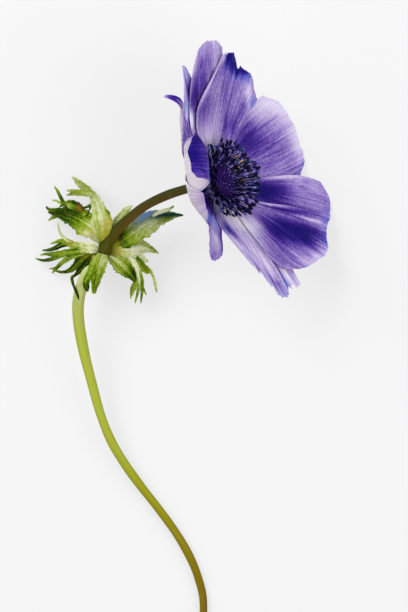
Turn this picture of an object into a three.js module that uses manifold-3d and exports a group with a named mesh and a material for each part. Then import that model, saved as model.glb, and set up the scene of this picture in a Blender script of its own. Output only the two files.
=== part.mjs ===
// A cut anemone flower (Anemone coronaria) lying on its side on a flat
// surface.  The bloom faces up and to the right on a curved flower stalk, a
// whorl of three deeply cut bracts sits at the node below it, and the long
// S-curved scape runs away to its cut end.
//
// Millimetres, +Z up.  The finished group stands on z = 0, centred in X and Y.
import * as THREE from "three";
import { mergeVertices } from "three/addons/utils/BufferGeometryUtils.js";
import Module from "manifold-3d";

const wasm = await Module();
wasm.setup();

// ------------------------------------------------------------ dimensions --
const FLOWER_CENTRE = new THREE.Vector3(3.3, 37.2, 30.1); // middle of the bloom
const FLOWER_TILT = 60;        // degrees of the flower's axis away from straight up
const FLOWER_HEADING = 17;     // degrees of the axis about +Z, from +X towards +Y
const PETAL_THICK = 0.5;
const LAYER_STEP = 1.0;        // height between two neighbouring whorls of petals
const CLAW_RADIUS = 3.6;       // where the petals leave the receptacle
const RECEPTACLE_RADIUS = 3.2;
const CUSHION_RADIUS = 5.6;    // disc above the petals that carries the stamens
const CUSHION_TOP = 2.7;
const DOME_RADIUS = 5.5;
const DOME_BASE = 3.0;
const DOME_RISE = 2.6;
const ANTHER_LENGTH = 1.7;
const STALK_RADIUS_TOP = 1.35; // flower stalk just below the bloom
const SCAPE_RADIUS_NODE = 1.95;
const SCAPE_RADIUS_CUT = 1.22;
const TABLE = -1.15;           // height of the table below the layout's zero
const BRACT_THICK = 0.6;
const CLEARANCE = 0.35;        // between pieces that the living tissue joins

// The bloom is a shallow cup.  Its slope, in degrees, is given at eight
// distances from the middle (measured along the petal) for each petal, and it
// blends from petal to petal around the flower.
const SLOPE_AT = [4, 10, 16, 22, 28, 34, 40, 46];

// Petals, each cut from a flat blank and then laid on the cup.  az: direction
// in the flower (0 = lowest side, 90 = top of the bloom, 180 = side raised
// towards the viewer above).  layer: -1 outer, 0 middle, 1 inner whorl.
// tip: length at nine places across the rim, from one margin to the other.
// plus and minus: width of each half at six places from claw to rim.  nicks:
// tears of the rim as [place across, depth, width].  rise_plus: extra rise of a
// margin along the petal.
const PETALS = {
  petal_top_outer: {
    az: 89, layer: 0, colour: 0xa08fcd,
    tip: [35.4, 37.7, 38.4, 38.8, 38.7, 38.1, 37, 35.3, 32.2],
    plus: [1.6, 5.6, 10.2, 12.6, 12, 9.4], minus: [1.6, 5, 7.6, 8.8, 9, 8.6],
    slope: [12, 16, 18, 18, 17, 16, 16, 16],
  },
  petal_top_inner: {
    az: 72, layer: 1, colour: 0x7c68c0,
    tip: [25, 30.6, 32.6, 34.2, 36, 35.8, 35.2, 34.4, 33.3],
    plus: [1.8, 10.5, 15.4, 13.2, 9.2, 5.4], minus: [1.8, 4.8, 7.8, 9.4, 12.4, 15.6],
    nicks: [[-0.29, 1.6, 0.05], [-0.62, 0.5, 0.05]],
  },
  petal_right_upper: {
    az: 11, layer: -1, colour: 0x9a86cc,
    tip: [32.5, 36.6, 38.3, 39, 39.2, 38.6, 37.4, 35.2, 28],
    plus: [1.6, 6.5, 11, 14, 16, 16.6], minus: [1.6, 5, 8.5, 11, 12.3, 12.4],
    slope: [12, 16, 18, 18, 17, 15, 14, 14],
  },
  petal_right_middle: {
    az: -30, layer: 0, colour: 0x8d78c4,
    tip: [36, 39.5, 41, 41.8, 42.4, 42.8, 43, 42.2, 38.6],
    plus: [1.6, 4.5, 8, 11.3, 13.8, 14.4], minus: [1.6, 3.5, 5.5, 7.5, 8.5, 8],
    slope: [12, 18, 19, 19, 19, 17, 16, 16],
  },
  petal_right_lower: {
    az: -47, layer: 1, colour: 0x5a45a8,
    tip: [27, 32.2, 35.8, 38.3, 40.6, 41.5, 41, 39.5, 39.2],
    plus: [1.4, 1.6, 4.4, 8.3, 11.7, 15.1], minus: [1.6, 5, 8.4, 11.3, 13.8, 14.2],
    slope: [12, 18, 19, 19, 18, 16, 15, 15],
  },
  petal_bottom_outer: {
    az: -70, layer: -1, colour: 0xa899d2,
    tip: [31, 33, 34.2, 35.4, 36, 36.4, 37.3, 37.6, 35.5],
    plus: [1.6, 4, 6, 7, 6.2, 4.6], minus: [1.6, 4, 6, 7, 7, 6.5],
    slope: [10, 15, 15, 15, 14, 12, 12, 12],
  },
  petal_bottom_inner: {
    az: -86, layer: 0, colour: 0xa899d2,
    tip: [23.4, 26.4, 28.8, 33.2, 36, 36.8, 37, 36.6, 34.4],
    plus: [1.6, 3.5, 5.5, 6.5, 7, 7], minus: [1.6, 7.8, 10.4, 9.6, 7.8, 6.7],
    slope: [10, 14, 15, 14, 13, 11, 10, 10],
  },
  petal_hanging: {
    az: -145, layer: -1, colour: 0xb2a0d8,
    tip: [34.5, 34.8, 35.2, 35.8, 36.2, 36, 35, 33, 30],
    plus: [1.6, 5.8, 6.4, 5.4, 4.6, 3], minus: [1.6, 1.2, 0, 0.6, 3, 3.4],
    slope: [4, 10, 18, 24, 22, 14, 2, 0],
    rise_plus: [0, 0.4, 1],
  },
  petal_near_lower: {
    az: -169, layer: 0, colour: 0xd8cce2,
    tip: [13, 20, 26, 28.2, 28.8, 28.6, 27.6, 25.5, 22],
    plus: [1.6, 5, 7.8, 9.2, 9, 7], minus: [1.6, 4, 7, 8.4, 7.8, 5.4],
    slope: [0, 2, 6, 34, 64, 50, 0, 0],
  },
  petal_near_upper: {
    az: 165, layer: 1, colour: 0x4a359a,
    tip: [34.5, 37.2, 39, 40.3, 41, 40.8, 40.6, 40.4, 39],
    plus: [1.6, 5, 8, 10, 10.4, 9.4], minus: [1.6, 4, 7, 9, 10.4, 9.6],
    slope: [0, 3, 9, 37, 72, 70, -20, -60],
  },
  petal_curled: {
    az: 135, layer: 0, colour: 0x9d8ccb,
    tip: [24, 29, 33.4, 37.2, 38.8, 37.2, 33.4, 29, 24],
    plus: [0.8, 2.5, 4.2, 5.6, 6.2, 4], minus: [0.6, 1.3, 2.3, 3.6, 4.4, 3],
    slope: [0, 4, 12, 24, 30, 34, -40, -80],
    rise_plus: [0, 0, 0.2, 0.6, 1.6],
  },
  petal_narrow: {
    az: 110.5, layer: -1, colour: 0xb9acd8,
    tip: [22, 27, 31, 34, 35, 33.6, 31, 27, 22],
    plus: [0.8, 3.2, 5.6, 7.4, 8.2, 6.4], minus: [0.8, 3.2, 5, 6.2, 6.6, 5],
    slope: [8, 13, 17, 18, 17, 16, 16, 16],
  },
};
// slope between the top petals and the right-hand ones
const SLOPE_FILL = { az: 50, slope: [12, 17, 20, 21, 20, 18, 17, 17] };

// Centre line of the stem from the bloom to the cut end, with its radius.
const STEM_PATH = [
  [-0.4, 36.1, 28.6, STALK_RADIUS_TOP + 0.25],
  [-4.0, 35.9, 26.6, STALK_RADIUS_TOP],
  [-11.4, 34.2, 24.2, 1.42],
  [-18.0, 31.2, 21.4, 1.5],
  [-22.8, 27.6, 18.9, 1.58],
  [-27.0, 22.4, 16.6, 1.7],
  [-29.4, 18.6, 15.2, 1.95],
  [-30.6, 16.8, 14.6, 2.35],
  [-32.0, 14.6, 14.1, SCAPE_RADIUS_NODE],
  [-35.9, 9.2, 13.2, 1.9],
  [-38.2, 2.4, 12.1, 1.86],
  [-38.3, -4.6, 10.8, 1.78],
  [-36.8, -13.8, 9.0, 1.6],
  [-34.5, -23.2, 7.3, 1.48],
  [-31.8, -33.2, 5.7, 1.42],
  [-28.5, -41.6, 4.4, 1.4],
  [-24.4, -48.6, 3.4, 1.36],
  [-19.4, -55.6, 2.4, 1.32],
  [-13.9, -62.7, 1.6, 1.28],
  [-8.8, -69.8, 0.9, 1.26],
  [-4.7, -76.8, 0.5, 1.24],
  [-1.9, -83.6, 0.25, 1.23],
  [-0.2, -91.4, TABLE + SCAPE_RADIUS_CUT + 0.02, 1.22],
  [-0.8, -103.0, TABLE + SCAPE_RADIUS_CUT, SCAPE_RADIUS_CUT],
  [-3.2, -115.0, TABLE + SCAPE_RADIUS_CUT, SCAPE_RADIUS_CUT],
  [-7.2, -127.0, TABLE + SCAPE_RADIUS_CUT, SCAPE_RADIUS_CUT],
];

// Bract lobes: each lobe is a tapering blade through [x, y, z, half width].
const BRACTS = {
  bract_upper: {
    body: [
      [-30.5, 18.3, 14.6, 1.1], [-30.7, 22.2, 17, 2.3], [-31, 25.8, 17.8, 3],
      [-31.8, 28.9, 17, 2.3], [-32.6, 31.2, 15.6, 1.8], [-33.7, 33.4, 13.4, 1.2],
      [-35.6, 35.5, 10, 1.1], [-37.9, 37.3, 6, 0.9], [-39.4, 38.7, 3, 0.6],
      [-40.8, 40, -0.8, 0.1],
    ],
    prong: [
      [-34.2, 34, 12.6, 0.7], [-36.7, 34.5, 9.6, 0.9], [-39.3, 34.8, 6.4, 0.8],
      [-41, 34.5, 3.6, 0.4], [-42.3, 34.2, 1, 0.1],
    ],
    fan: [
      [-31.1, 19.5, 15, 1.2], [-33, 22.8, 17, 3.2], [-35.6, 24.8, 17, 3.7],
      [-38.4, 26.5, 15.2, 3.3], [-41.1, 27.7, 12.2, 2.6], [-43.5, 28.4, 8.8, 1.9],
      [-45.5, 28.8, 5.6, 1.3], [-47.2, 28.9, 2.4, 0.7], [-48, 28.8, 0.4, 0.2],
    ],
    hook: [
      [-45.5, 29.5, 5.6, 0.6], [-47, 29.7, 3.2, 0.4], [-48.1, 30, 1.6, 0.3],
      [-48.7, 30.7, 0.6, 0.1],
    ],
    fang: [
      [-45.2, 27.8, 5.6, 0.6], [-46.7, 27.2, 3, 0.4], [-48, 26.4, 0.6, 0.1],
    ],
    crest: [
      [-35.9, 27.8, 16.6, 1], [-37.9, 29.5, 16.6, 1.3], [-39.7, 30.7, 15.2, 1.4],
      [-41.6, 31.2, 13, 1], [-43.1, 30.9, 10.8, 0.5], [-44.1, 30.4, 9.6, 0.1],
    ],
    horn: [
      [-41.5, 30.5, 13, 0.6], [-43, 31.8, 10.8, 0.5], [-44.1, 33.7, 8.6, 0.4],
      [-45, 35.4, 6.6, 0.3], [-46, 36.7, 4.4, 0.1],
    ],
  },
  bract_lower: {
    sheet: [
      [-31.4, 17, 15.4, 1], [-33.7, 17.5, 17, 1.4], [-36.2, 17.8, 16.4, 1.5],
      [-38.4, 18.2, 14.6, 1.4], [-40.3, 18.7, 12.4, 1], [-41.9, 19.5, 10.2, 0.7],
    ],
    claw: [
      [-41.6, 19, 10.8, 0.8], [-43.5, 18.8, 8.4, 0.8], [-45.5, 17.9, 5.8, 0.6],
      [-47.6, 17.3, 3, 0.4], [-49.9, 17.2, -0.4, 0.1],
    ],
    left: [
      [-34.3, 16.9, 16.8, 0.9], [-37.8, 16.8, 15.2, 1], [-40.9, 16.4, 12.4, 1],
      [-43.8, 16.1, 9, 0.9], [-46.7, 15.9, 5.6, 0.6], [-48.7, 16, 3.4, 0.3],
      [-50.5, 15.7, 1.6, 0.1],
    ],
    left2: [
      [-42.8, 15.6, 9.8, 0.6], [-45.4, 14.9, 6.6, 0.6], [-47.4, 14.3, 4, 0.5],
      [-49.7, 14.1, 1.6, 0.3], [-52, 14.7, -0.8, 0.1],
    ],
    branch: [
      [-36.5, 16.3, 15.6, 0.8], [-39.4, 15.5, 13.2, 0.8], [-41.8, 14.4, 10.2, 0.7],
      [-43.7, 13.2, 7.2, 0.6], [-45.2, 11.8, 4.2, 0.4], [-46.9, 10.2, -0.8, 0.1],
    ],
    olive: [
      [-33.4, 15.8, 16.6, 1], [-35.9, 14.9, 15.4, 1.4], [-38, 13.5, 13.4, 1.5],
      [-39.7, 11.8, 11, 1], [-41.7, 10.7, 8.8, 0.5], [-43.6, 10.4, 7.2, 0.3],
      [-45.3, 10.8, 6, 0.2], [-46.6, 11.5, 5, 0.1],
    ],
    shade: [
      [-33.4, 15.5, 16.9, 0.9], [-34.9, 13.7, 15.8, 1], [-36.7, 11.9, 14.2, 0.9],
      [-38.5, 10.2, 12.6, 0.6], [-40.1, 8.7, 11.8, 0.1],
    ],
    tassel: [
      [-39.2, 9.6, 12.6, 0.2], [-40.3, 8.7, 12.2, 0.4], [-39.9, 6.7, 14.2, 0.3],
      [-39.2, 4.9, 14.4, 0.3], [-38.6, 3.4, 14.2, 0.3], [-38.2, 2, 14, 0.1],
    ],
    front_left: [
      [-32.7, 15.2, 17.2, 1], [-33.5, 12.5, 17.4, 1.2], [-34.6, 9.7, 17, 1.1],
      [-35.9, 7.4, 16.4, 0.9], [-35.7, 5.8, 16, 0.8], [-35.5, 4.4, 15.6, 0.3],
    ],
    front_right: [
      [-30.8, 15.8, 17, 1.5], [-31.5, 13.4, 17.4, 2.2], [-32.2, 10.6, 17.2, 1.8],
      [-32.8, 7.9, 16.6, 1.3], [-33.3, 5.8, 16, 0.9], [-33.5, 3.8, 15.4, 0.4],
    ],
  },
  bract_right: {
    up: [
      [-30.2, 18.9, 14.8, 0.8], [-29.4, 21.6, 14.8, 1], [-27.6, 24.4, 14.6, 1.1],
      [-25.6, 26.8, 14, 1.1], [-23.7, 29.2, 13.2, 0.9], [-21.8, 30.7, 12.4, 0.1],
    ],
    main: [
      [-28.6, 17.7, 14.6, 1.4], [-25.9, 19.5, 14.4, 2.6], [-22.9, 21.6, 14.4, 3.4],
      [-19.5, 23.9, 14, 3.7], [-16.2, 25.9, 13.2, 3.2], [-13.1, 27.1, 12, 2.3],
      [-10.4, 27.6, 10.8, 1.3], [-8.3, 27.8, 9.8, 0.6], [-6.4, 27.8, 9, 0.1],
    ],
    tongue: [
      [-16.5, 27, 14.2, 0.5], [-14.6, 28.2, 14, 0.6], [-12.5, 29, 13.6, 0.5],
      [-10.7, 29.5, 13, 0.4], [-9.2, 30.5, 12.4, 0.1],
    ],
    wing: [
      [-28, 16.8, 14.8, 1.1], [-25.3, 17.2, 14.2, 2], [-22.3, 17.7, 13.2, 2.6],
      [-19.5, 18, 11.8, 2.3], [-17.1, 17.6, 10.2, 1.3], [-15.4, 17, 9, 0.6],
      [-13.9, 16.1, 7.8, 0.1],
    ],
    wing2: [
      [-26.2, 16.2, 14.2, 1.1], [-23.2, 15.6, 13, 2], [-20.2, 14.8, 11.6, 1.8],
      [-18, 14.1, 10.4, 0.7], [-17.1, 13.6, 9.8, 0.2],
    ],
    lobe: [
      [-28.9, 15.5, 14.8, 1.1], [-26.8, 14, 14.2, 2.1], [-24.6, 12.1, 13, 2.6],
      [-22.8, 10.2, 11.6, 1.9], [-21.6, 8.6, 10.4, 1], [-21.1, 7.3, 9.6, 0.2],
    ],
    rib: [
      [-22.9, 15.3, 13, 1], [-21.2, 12.5, 11.8, 1], [-20.2, 9.8, 10.4, 0.9],
      [-19.8, 7, 9, 0.7], [-20.2, 4.6, 7.8, 0.4], [-21.2, 0.9, 6, 0.1],
    ],
    fork: [
      [-20.7, 7.7, 9.6, 0.6], [-21.6, 5.7, 8.4, 0.8], [-22.1, 4.1, 7.4, 0.5],
      [-22.5, 2.3, 6.4, 0.1],
    ],
    thread: [
      [-19.8, 11, 10.8, 0.5], [-19.1, 8.3, 9.6, 0.5], [-18.9, 5.8, 8.4, 0.4],
      [-19.1, 3.4, 7.2, 0.3], [-19.4, 0.9, 6, 0.1],
    ],
    dark: [
      [-20.5, 15, 12.4, 0.4], [-19.4, 13.3, 11.6, 0.8], [-18.2, 11.4, 10.6, 1],
      [-17, 10, 9.8, 0.4],
    ],
    cord: [
      [-17.6, 11.9, 10.8, 0.5], [-16.3, 10.5, 10.2, 0.4], [-15.4, 8.6, 9.4, 0.3],
      [-14.9, 6.4, 8.6, 0.4], [-14.5, 4.2, 7.8, 0.1],
    ],
  },
};

// --------------------------------------------------------------- helpers --
const rad = THREE.MathUtils.degToRad;

// Smooth value at t (0..1) through evenly spaced values.
function smooth(values, t) {
  const n = values.length - 1;
  const x = Math.min(Math.max(t, 0), 1) * n;
  const i = Math.min(Math.floor(x), n - 1);
  const f = x - i;
  const a = values[Math.max(i - 1, 0)];
  const b = values[i];
  const c = values[i + 1];
  const d = values[Math.min(i + 2, n)];
  return 0.5 * (2 * b + (c - a) * f + (2 * a - 5 * b + 4 * c - d) * f * f + (3 * b - a - 3 * c + d) * f ** 3);
}

// Closed geometry from a list of rings of equal length, capped at both ends.
function skin(rings) {
  const n = rings[0].length;
  const pos = [];
  const idx = [];
  for (const ring of rings) for (const p of ring) pos.push(p.x, p.y, p.z);
  for (let i = 0; i < rings.length - 1; i++) {
    for (let j = 0; j < n; j++) {
      const a = i * n + j;
      const b = i * n + ((j + 1) % n);
      idx.push(a, b, b + n, a, b + n, a + n);
    }
  }
  for (const [row, flip] of [[0, true], [rings.length - 1, false]]) {
    const mid = new THREE.Vector3();
    for (const p of rings[row]) mid.addScaledVector(p, 1 / n);
    const c = pos.length / 3;
    pos.push(mid.x, mid.y, mid.z);
    for (let j = 0; j < n; j++) {
      const a = row * n + j;
      const b = row * n + ((j + 1) % n);
      if (flip) idx.push(b, a, c);
      else idx.push(a, b, c);
    }
  }
  const g = new THREE.BufferGeometry();
  g.setAttribute("position", new THREE.Float32BufferAttribute(pos, 3));
  g.setIndex(idx);
  g.computeVertexNormals();
  return g;
}

// Rings of a given outline carried along a centre line without twisting.
function sweep(points, outline, up) {
  const rings = [];
  let normal = up.clone();
  for (let i = 0; i < points.length; i++) {
    const a = points[Math.max(i - 1, 0)].at;
    const b = points[Math.min(i + 1, points.length - 1)].at;
    const t = b.clone().sub(a).normalize();
    normal = (points[i].up ?? normal).clone().addScaledVector(t, -t.dot(points[i].up ?? normal)).normalize();
    const side = t.clone().cross(normal);
    const spot = ([x, y]) => points[i].at.clone().addScaledVector(side, x).addScaledVector(normal, y);
    rings.push(outline(points[i]).map(spot));
  }
  return skin(rings);
}

// Resample a hand-set path of [x, y, z, w] with a smooth curve.
function path(list, count) {
  const points = list.map((p) => new THREE.Vector3(p[0], p[1], p[2]));
  const curve = new THREE.CatmullRomCurve3(points, false, "catmullrom", 0.5);
  const out = [];
  for (let i = 0; i <= count; i++) {
    const t = i / count;
    out.push({ at: curve.getPoint(t), w: smooth(list.map((p) => p[3]), t) });
  }
  return out;
}

function circle(n) {
  return (p) => Array.from({ length: n }, (_, k) => {
    const a = (-2 * Math.PI * k) / n;
    return [p.w * Math.cos(a), p.w * Math.sin(a)];
  });
}

function solid(geometry) {
  const g = geometry.clone();
  g.deleteAttribute("normal");
  if (g.getAttribute("uv")) g.deleteAttribute("uv");
  const m = mergeVertices(g, 1e-5);
  return new wasm.Manifold(new wasm.Mesh({
    numProp: 3,
    vertProperties: new Float32Array(m.getAttribute("position").array),
    triVerts: new Uint32Array(m.index.array),
  }));
}

function geometryOf(body) {
  const m = body.getMesh();
  const g = new THREE.BufferGeometry();
  g.setAttribute("position", new THREE.BufferAttribute(new Float32Array(m.vertProperties), 3));
  g.setIndex(new THREE.BufferAttribute(new Uint32Array(m.triVerts), 1));
  g.computeVertexNormals();
  return g;
}

// --------------------------------------------------------- the flower cup --
const stations = [...Object.values(PETALS).filter((p) => p.slope), SLOPE_FILL]
  .map((p) => ({ az: (p.az + 360) % 360, slope: p.slope }))
  .sort((a, b) => a.az - b.az);

function slopeAt(rho, psi) {
  const a = ((psi % 360) + 360) % 360;
  let j = stations.length - 1;
  for (let i = 0; i < stations.length; i++) if (stations[i].az <= a) j = i;
  if (a < stations[0].az) j = stations.length - 1;
  const s0 = stations[j];
  const s1 = stations[(j + 1) % stations.length];
  const span = (s1.az - s0.az + 360) % 360;
  let f = ((a - s0.az + 360) % 360) / span;
  f = f * f * (3 - 2 * f);
  const t = (rho - SLOPE_AT[0]) / (SLOPE_AT[7] - SLOPE_AT[0]);
  return rad(smooth(s0.slope, t) * (1 - f) + smooth(s1.slope, t) * f);
}

// Radius, height and slope of the cup at a distance along it.
function cup(rho, psi) {
  const steps = 40;
  let r = CLAW_RADIUS;
  let h = 0;
  const d = (rho - CLAW_RADIUS) / steps;
  for (let i = 0; i < steps; i++) {
    const p = slopeAt(CLAW_RADIUS + (i + 0.5) * d, psi);
    r += Math.cos(p) * d;
    h += Math.sin(p) * d;
  }
  return { r, h, p: slopeAt(rho, psi) };
}

// A point of the petal: u runs from claw to rim, v across from -1 to 1, and
// off is the distance off the middle of its thickness.
function petalPoint(p, u, v, off) {
  let tip = smooth(p.tip, (v + 1) / 2);
  for (const [centre, depth, width] of p.nicks ?? []) tip -= depth * Math.exp(-(((v - centre) / width) ** 2));
  const x = CLAW_RADIUS + u * tip;
  const y = v * smooth(v > 0 ? p.plus : p.minus, u);
  const psi = rad(p.az) + Math.atan2(y, x);
  const c = cup(Math.hypot(x, y), THREE.MathUtils.radToDeg(psi));
  const rise = smooth((v > 0 ? p.rise_plus : p.rise_minus) ?? [0, 0], (u * tip) / Math.max(...p.tip));
  const lift = p.layer * LAYER_STEP + off + rise * v * v;
  const r = c.r - Math.sin(c.p) * lift;
  return new THREE.Vector3(r * Math.cos(psi), r * Math.sin(psi), c.h + Math.cos(c.p) * lift);
}

function petalGeometry(p, nu = 12, nv = 12) {
  const rings = [];
  for (let i = 0; i <= nu; i++) {
    const u = i / nu;
    const top = [];
    const under = [];
    for (let j = 0; j <= nv; j++) {
      const v = Math.sin((Math.PI / 2) * ((2 * j) / nv - 1));
      top.push(petalPoint(p, u, v, PETAL_THICK / 2));
      under.push(petalPoint(p, u, v, -PETAL_THICK / 2));
    }
    rings.push([...top.reverse(), ...under]);
  }
  const n = rings[0].length;
  const pos = [];
  const idx = [];
  for (const ring of rings) for (const q of ring) pos.push(q.x, q.y, q.z);
  for (let i = 0; i < nu; i++) {
    for (let j = 0; j < n; j++) {
      const a = i * n + j;
      const b = i * n + ((j + 1) % n);
      idx.push(a, b, b + n, a, b + n, a + n);
    }
  }
  for (const row of [0, nu]) {
    for (let j = 0; j < nv; j++) {
      const a = row * n + j;
      const b = a + 1;
      const c = row * n + (n - 1 - j);
      const d = c - 1;
      if (row === 0) idx.push(a, d, b, a, c, d);
      else idx.push(a, b, d, a, d, c);
    }
  }
  const g = new THREE.BufferGeometry();
  g.setAttribute("position", new THREE.Float32BufferAttribute(pos, 3));
  g.setIndex(idx);
  g.computeVertexNormals();
  return g;
}

// ----------------------------------------------------------- middle parts --
function lathe(profile, segments) {
  const g = new THREE.LatheGeometry(profile.map(([r, z]) => new THREE.Vector2(r, z)), segments);
  g.rotateX(Math.PI / 2);
  g.deleteAttribute("normal");
  g.deleteAttribute("uv");
  const m = mergeVertices(g, 1e-4);
  // drop the slivers that a profile leaves on its axis
  const keep = [];
  for (let i = 0; i < m.index.count; i += 3) {
    const [a, b, c] = [m.index.getX(i), m.index.getX(i + 1), m.index.getX(i + 2)];
    if (a !== b && b !== c && a !== c) keep.push(a, b, c);
  }
  m.setIndex(keep);
  m.computeVertexNormals();
  return m;
}

// One whorl of stamens: a thin collar that carries bent filaments, each with
// an oblong anther at its end, fused into a single body.  lean: how much longer
// the filaments are on the lowest side of the bloom than at its sides.
const COLLAR_INNER = 6.0;
const COLLAR_THICK = 0.5;
function stamenWhorl({ count, turn, collarBase, collarOut, reach, rise, lean, spread, seed }) {
  let body = solid(lathe([
    [COLLAR_INNER, collarBase], [collarOut, collarBase], [collarOut, collarBase + COLLAR_THICK],
    [COLLAR_INNER, collarBase + COLLAR_THICK], [COLLAR_INNER, collarBase],
  ], 36));
  let state = seed;
  const random = () => {
    state = (state * 16807) % 2147483647;
    return state / 2147483647;
  };
  for (let k = 0; k < count; k++) {
    const a = ((k + 0.5 * turn) / count) * Math.PI * 2 + (random() - 0.5) * 0.05;
    const far = reach + (random() - 0.5) * spread;
    const high = rise + lean * Math.cos(a) + (random() - 0.5) * spread * 0.5;
    const out = new THREE.Vector3(Math.cos(a), Math.sin(a), 0);
    const up = new THREE.Vector3(0, 0, 1);
    const at = (r, h) => out.clone().multiplyScalar(r).addScaledVector(up, h);
    const base = collarBase + COLLAR_THICK / 2;
    const from = collarOut - 0.2;
    const dir = at(far - from, high - base).normalize();
    const tip = at(far, high);
    const pts = [
      { at: at(from, base), w: 0.2 },
      { at: tip, w: 0.17 },
      { at: tip.clone().addScaledVector(dir, ANTHER_LENGTH * 0.3), w: 0.45 },
      { at: tip.clone().addScaledVector(dir, ANTHER_LENGTH), w: 0.24 },
    ];
    body = body.add(solid(sweep(pts, circle(4), up)));
  }
  return geometryOf(body);
}

// ------------------------------------------------------------- the flower --
const anemone = new THREE.Group();
const bloom = new THREE.Group();

function add(parent, name, geometry, colour, roughness) {
  const material = new THREE.MeshStandardMaterial({ color: colour, roughness, metalness: 0 });
  const mesh = new THREE.Mesh(geometry, material);
  mesh.name = name;
  parent.add(mesh);
  return mesh;
}

for (const [name, p] of Object.entries(PETALS)) add(bloom, name, petalGeometry(p), p.colour, 0.6);

add(bloom, "receptacle", lathe([
  [0, -3.1], [1.9, -2.9], [2.9, -2.0], [RECEPTACLE_RADIUS, -1.2],
  [RECEPTACLE_RADIUS - 0.25, 0.4], [RECEPTACLE_RADIUS - 0.3, 1.6], [3.8, 2.1],
  [CUSHION_RADIUS, CUSHION_TOP - 0.4], [CUSHION_RADIUS, CUSHION_TOP], [0, CUSHION_TOP],
], 36), 0x6a7a3c, 0.7);

const DOME_STEPS = 8;
const dome = [[0, DOME_BASE]];
for (let i = 0; i <= DOME_STEPS; i++) {
  const t = (i / DOME_STEPS) * (Math.PI / 2);
  dome.push([i === DOME_STEPS ? 0 : DOME_RADIUS * Math.cos(t), DOME_BASE + 0.2 + DOME_RISE * Math.sin(t)]);
}
add(bloom, "pistil_dome", lathe(dome, 32), 0x2c1230, 0.65);

const WHORLS = {
  stamens_outer: {
    count: 40, turn: 0, collarBase: 2.45, collarOut: 7.2,
    reach: 10.2, rise: 4.9, lean: 2.3, spread: 1.2, seed: 11,
  },
  stamens_middle: {
    count: 34, turn: 1, collarBase: 3.25, collarOut: 6.95,
    reach: 8.6, rise: 5.7, lean: 1.2, spread: 0.8, seed: 23,
  },
  stamens_inner: {
    count: 28, turn: 0, collarBase: 4.05, collarOut: 6.7,
    reach: 6.9, rise: 6.6, lean: 0.8, spread: 0.5, seed: 37,
  },
};
for (const [name, w] of Object.entries(WHORLS)) add(bloom, name, stamenWhorl(w), 0x14102a, 0.5);

// Turn the bloom so that its axis leans FLOWER_TILT from upright.
const axis = new THREE.Vector3(
  Math.sin(rad(FLOWER_TILT)) * Math.cos(rad(FLOWER_HEADING)),
  Math.sin(rad(FLOWER_TILT)) * Math.sin(rad(FLOWER_HEADING)),
  Math.cos(rad(FLOWER_TILT)),
);
const low = new THREE.Vector3(
  Math.cos(rad(FLOWER_TILT)) * Math.cos(rad(FLOWER_HEADING)),
  Math.cos(rad(FLOWER_TILT)) * Math.sin(rad(FLOWER_HEADING)),
  -Math.sin(rad(FLOWER_TILT)),
);
const across = axis.clone().cross(low);
bloom.quaternion.setFromRotationMatrix(new THREE.Matrix4().makeBasis(low, across, axis));
bloom.position.copy(FLOWER_CENTRE);
anemone.add(bloom);

// The stem: flower stalk, node and scape in one piece, cut square to its end.
const stemLine = path(STEM_PATH, 56);
const stemBody = sweep(stemLine, circle(9), new THREE.Vector3(0, 0, 1));
add(anemone, "stem", stemBody, 0x9aa04a, 0.6);

// Bracts: the blades of each are fused into one body, then kept clear of the
// stem and of the bracts laid down before it.
const blade = (thick, spare) => (p) => [[p.w + spare, 0], [0, -thick / 2], [-p.w - spare, 0], [0, thick / 2]];
const UP = new THREE.Vector3(0, 0, 1);
const stack = (lobes, thick, spare) => Object.values(lobes)
  .map((lobe) => solid(sweep(path(lobe, (lobe.length - 1) * 2), blade(thick, spare), UP)))
  .reduce((body, one) => body.add(one));
let clearing = solid(sweep(stemLine.map((p) => ({ at: p.at, w: p.w + CLEARANCE })), circle(9), UP));
for (const [name, lobes] of Object.entries(BRACTS)) {
  const body = stack(lobes, BRACT_THICK, 0).subtract(clearing);
  const pieces = body.decompose().sort((a, b) => b.volume() - a.volume());
  add(anemone, name, geometryOf(pieces[0]), 0x8fa64a, 0.6);
  clearing = clearing.add(stack(lobes, BRACT_THICK + 2 * CLEARANCE, CLEARANCE));
}

// Stand the whole flower on z = 0, centred in X and Y.
anemone.updateMatrixWorld(true);
const box = new THREE.Box3().setFromObject(anemone, true);
const middle = box.getCenter(new THREE.Vector3());
anemone.position.set(-middle.x, -middle.y, -box.min.z);
anemone.updateMatrixWorld(true);

export default anemone;
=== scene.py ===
# %% [markdown]
# # A cut anemone
#
# The flower lies on a pale table top. Its CAD model is loaded first as a fixed
# frame: it says where every organ is and how big. Each soft organ is then made
# again here with its fine shape and its finish, in metres, in the same frame.

# %% Load the frame
import math
import random

import bpy
import numpy as np
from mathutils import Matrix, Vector


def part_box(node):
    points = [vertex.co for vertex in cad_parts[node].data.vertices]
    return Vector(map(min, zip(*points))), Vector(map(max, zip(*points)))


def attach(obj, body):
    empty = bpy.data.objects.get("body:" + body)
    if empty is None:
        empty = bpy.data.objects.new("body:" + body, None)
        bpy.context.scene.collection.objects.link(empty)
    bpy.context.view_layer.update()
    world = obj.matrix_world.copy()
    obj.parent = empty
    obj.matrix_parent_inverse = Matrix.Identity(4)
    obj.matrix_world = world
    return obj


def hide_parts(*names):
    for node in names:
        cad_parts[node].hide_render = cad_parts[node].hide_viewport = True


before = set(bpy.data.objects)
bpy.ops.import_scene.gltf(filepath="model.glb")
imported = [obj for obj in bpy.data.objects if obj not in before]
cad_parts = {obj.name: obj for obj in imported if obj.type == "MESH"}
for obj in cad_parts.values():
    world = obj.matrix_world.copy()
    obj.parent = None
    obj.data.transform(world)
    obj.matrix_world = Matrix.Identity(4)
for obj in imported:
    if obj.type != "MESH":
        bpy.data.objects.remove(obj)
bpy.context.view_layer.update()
bpy.ops.object.select_all(action="DESELECT")
print("CAD nodes:", len(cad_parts))

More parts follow.
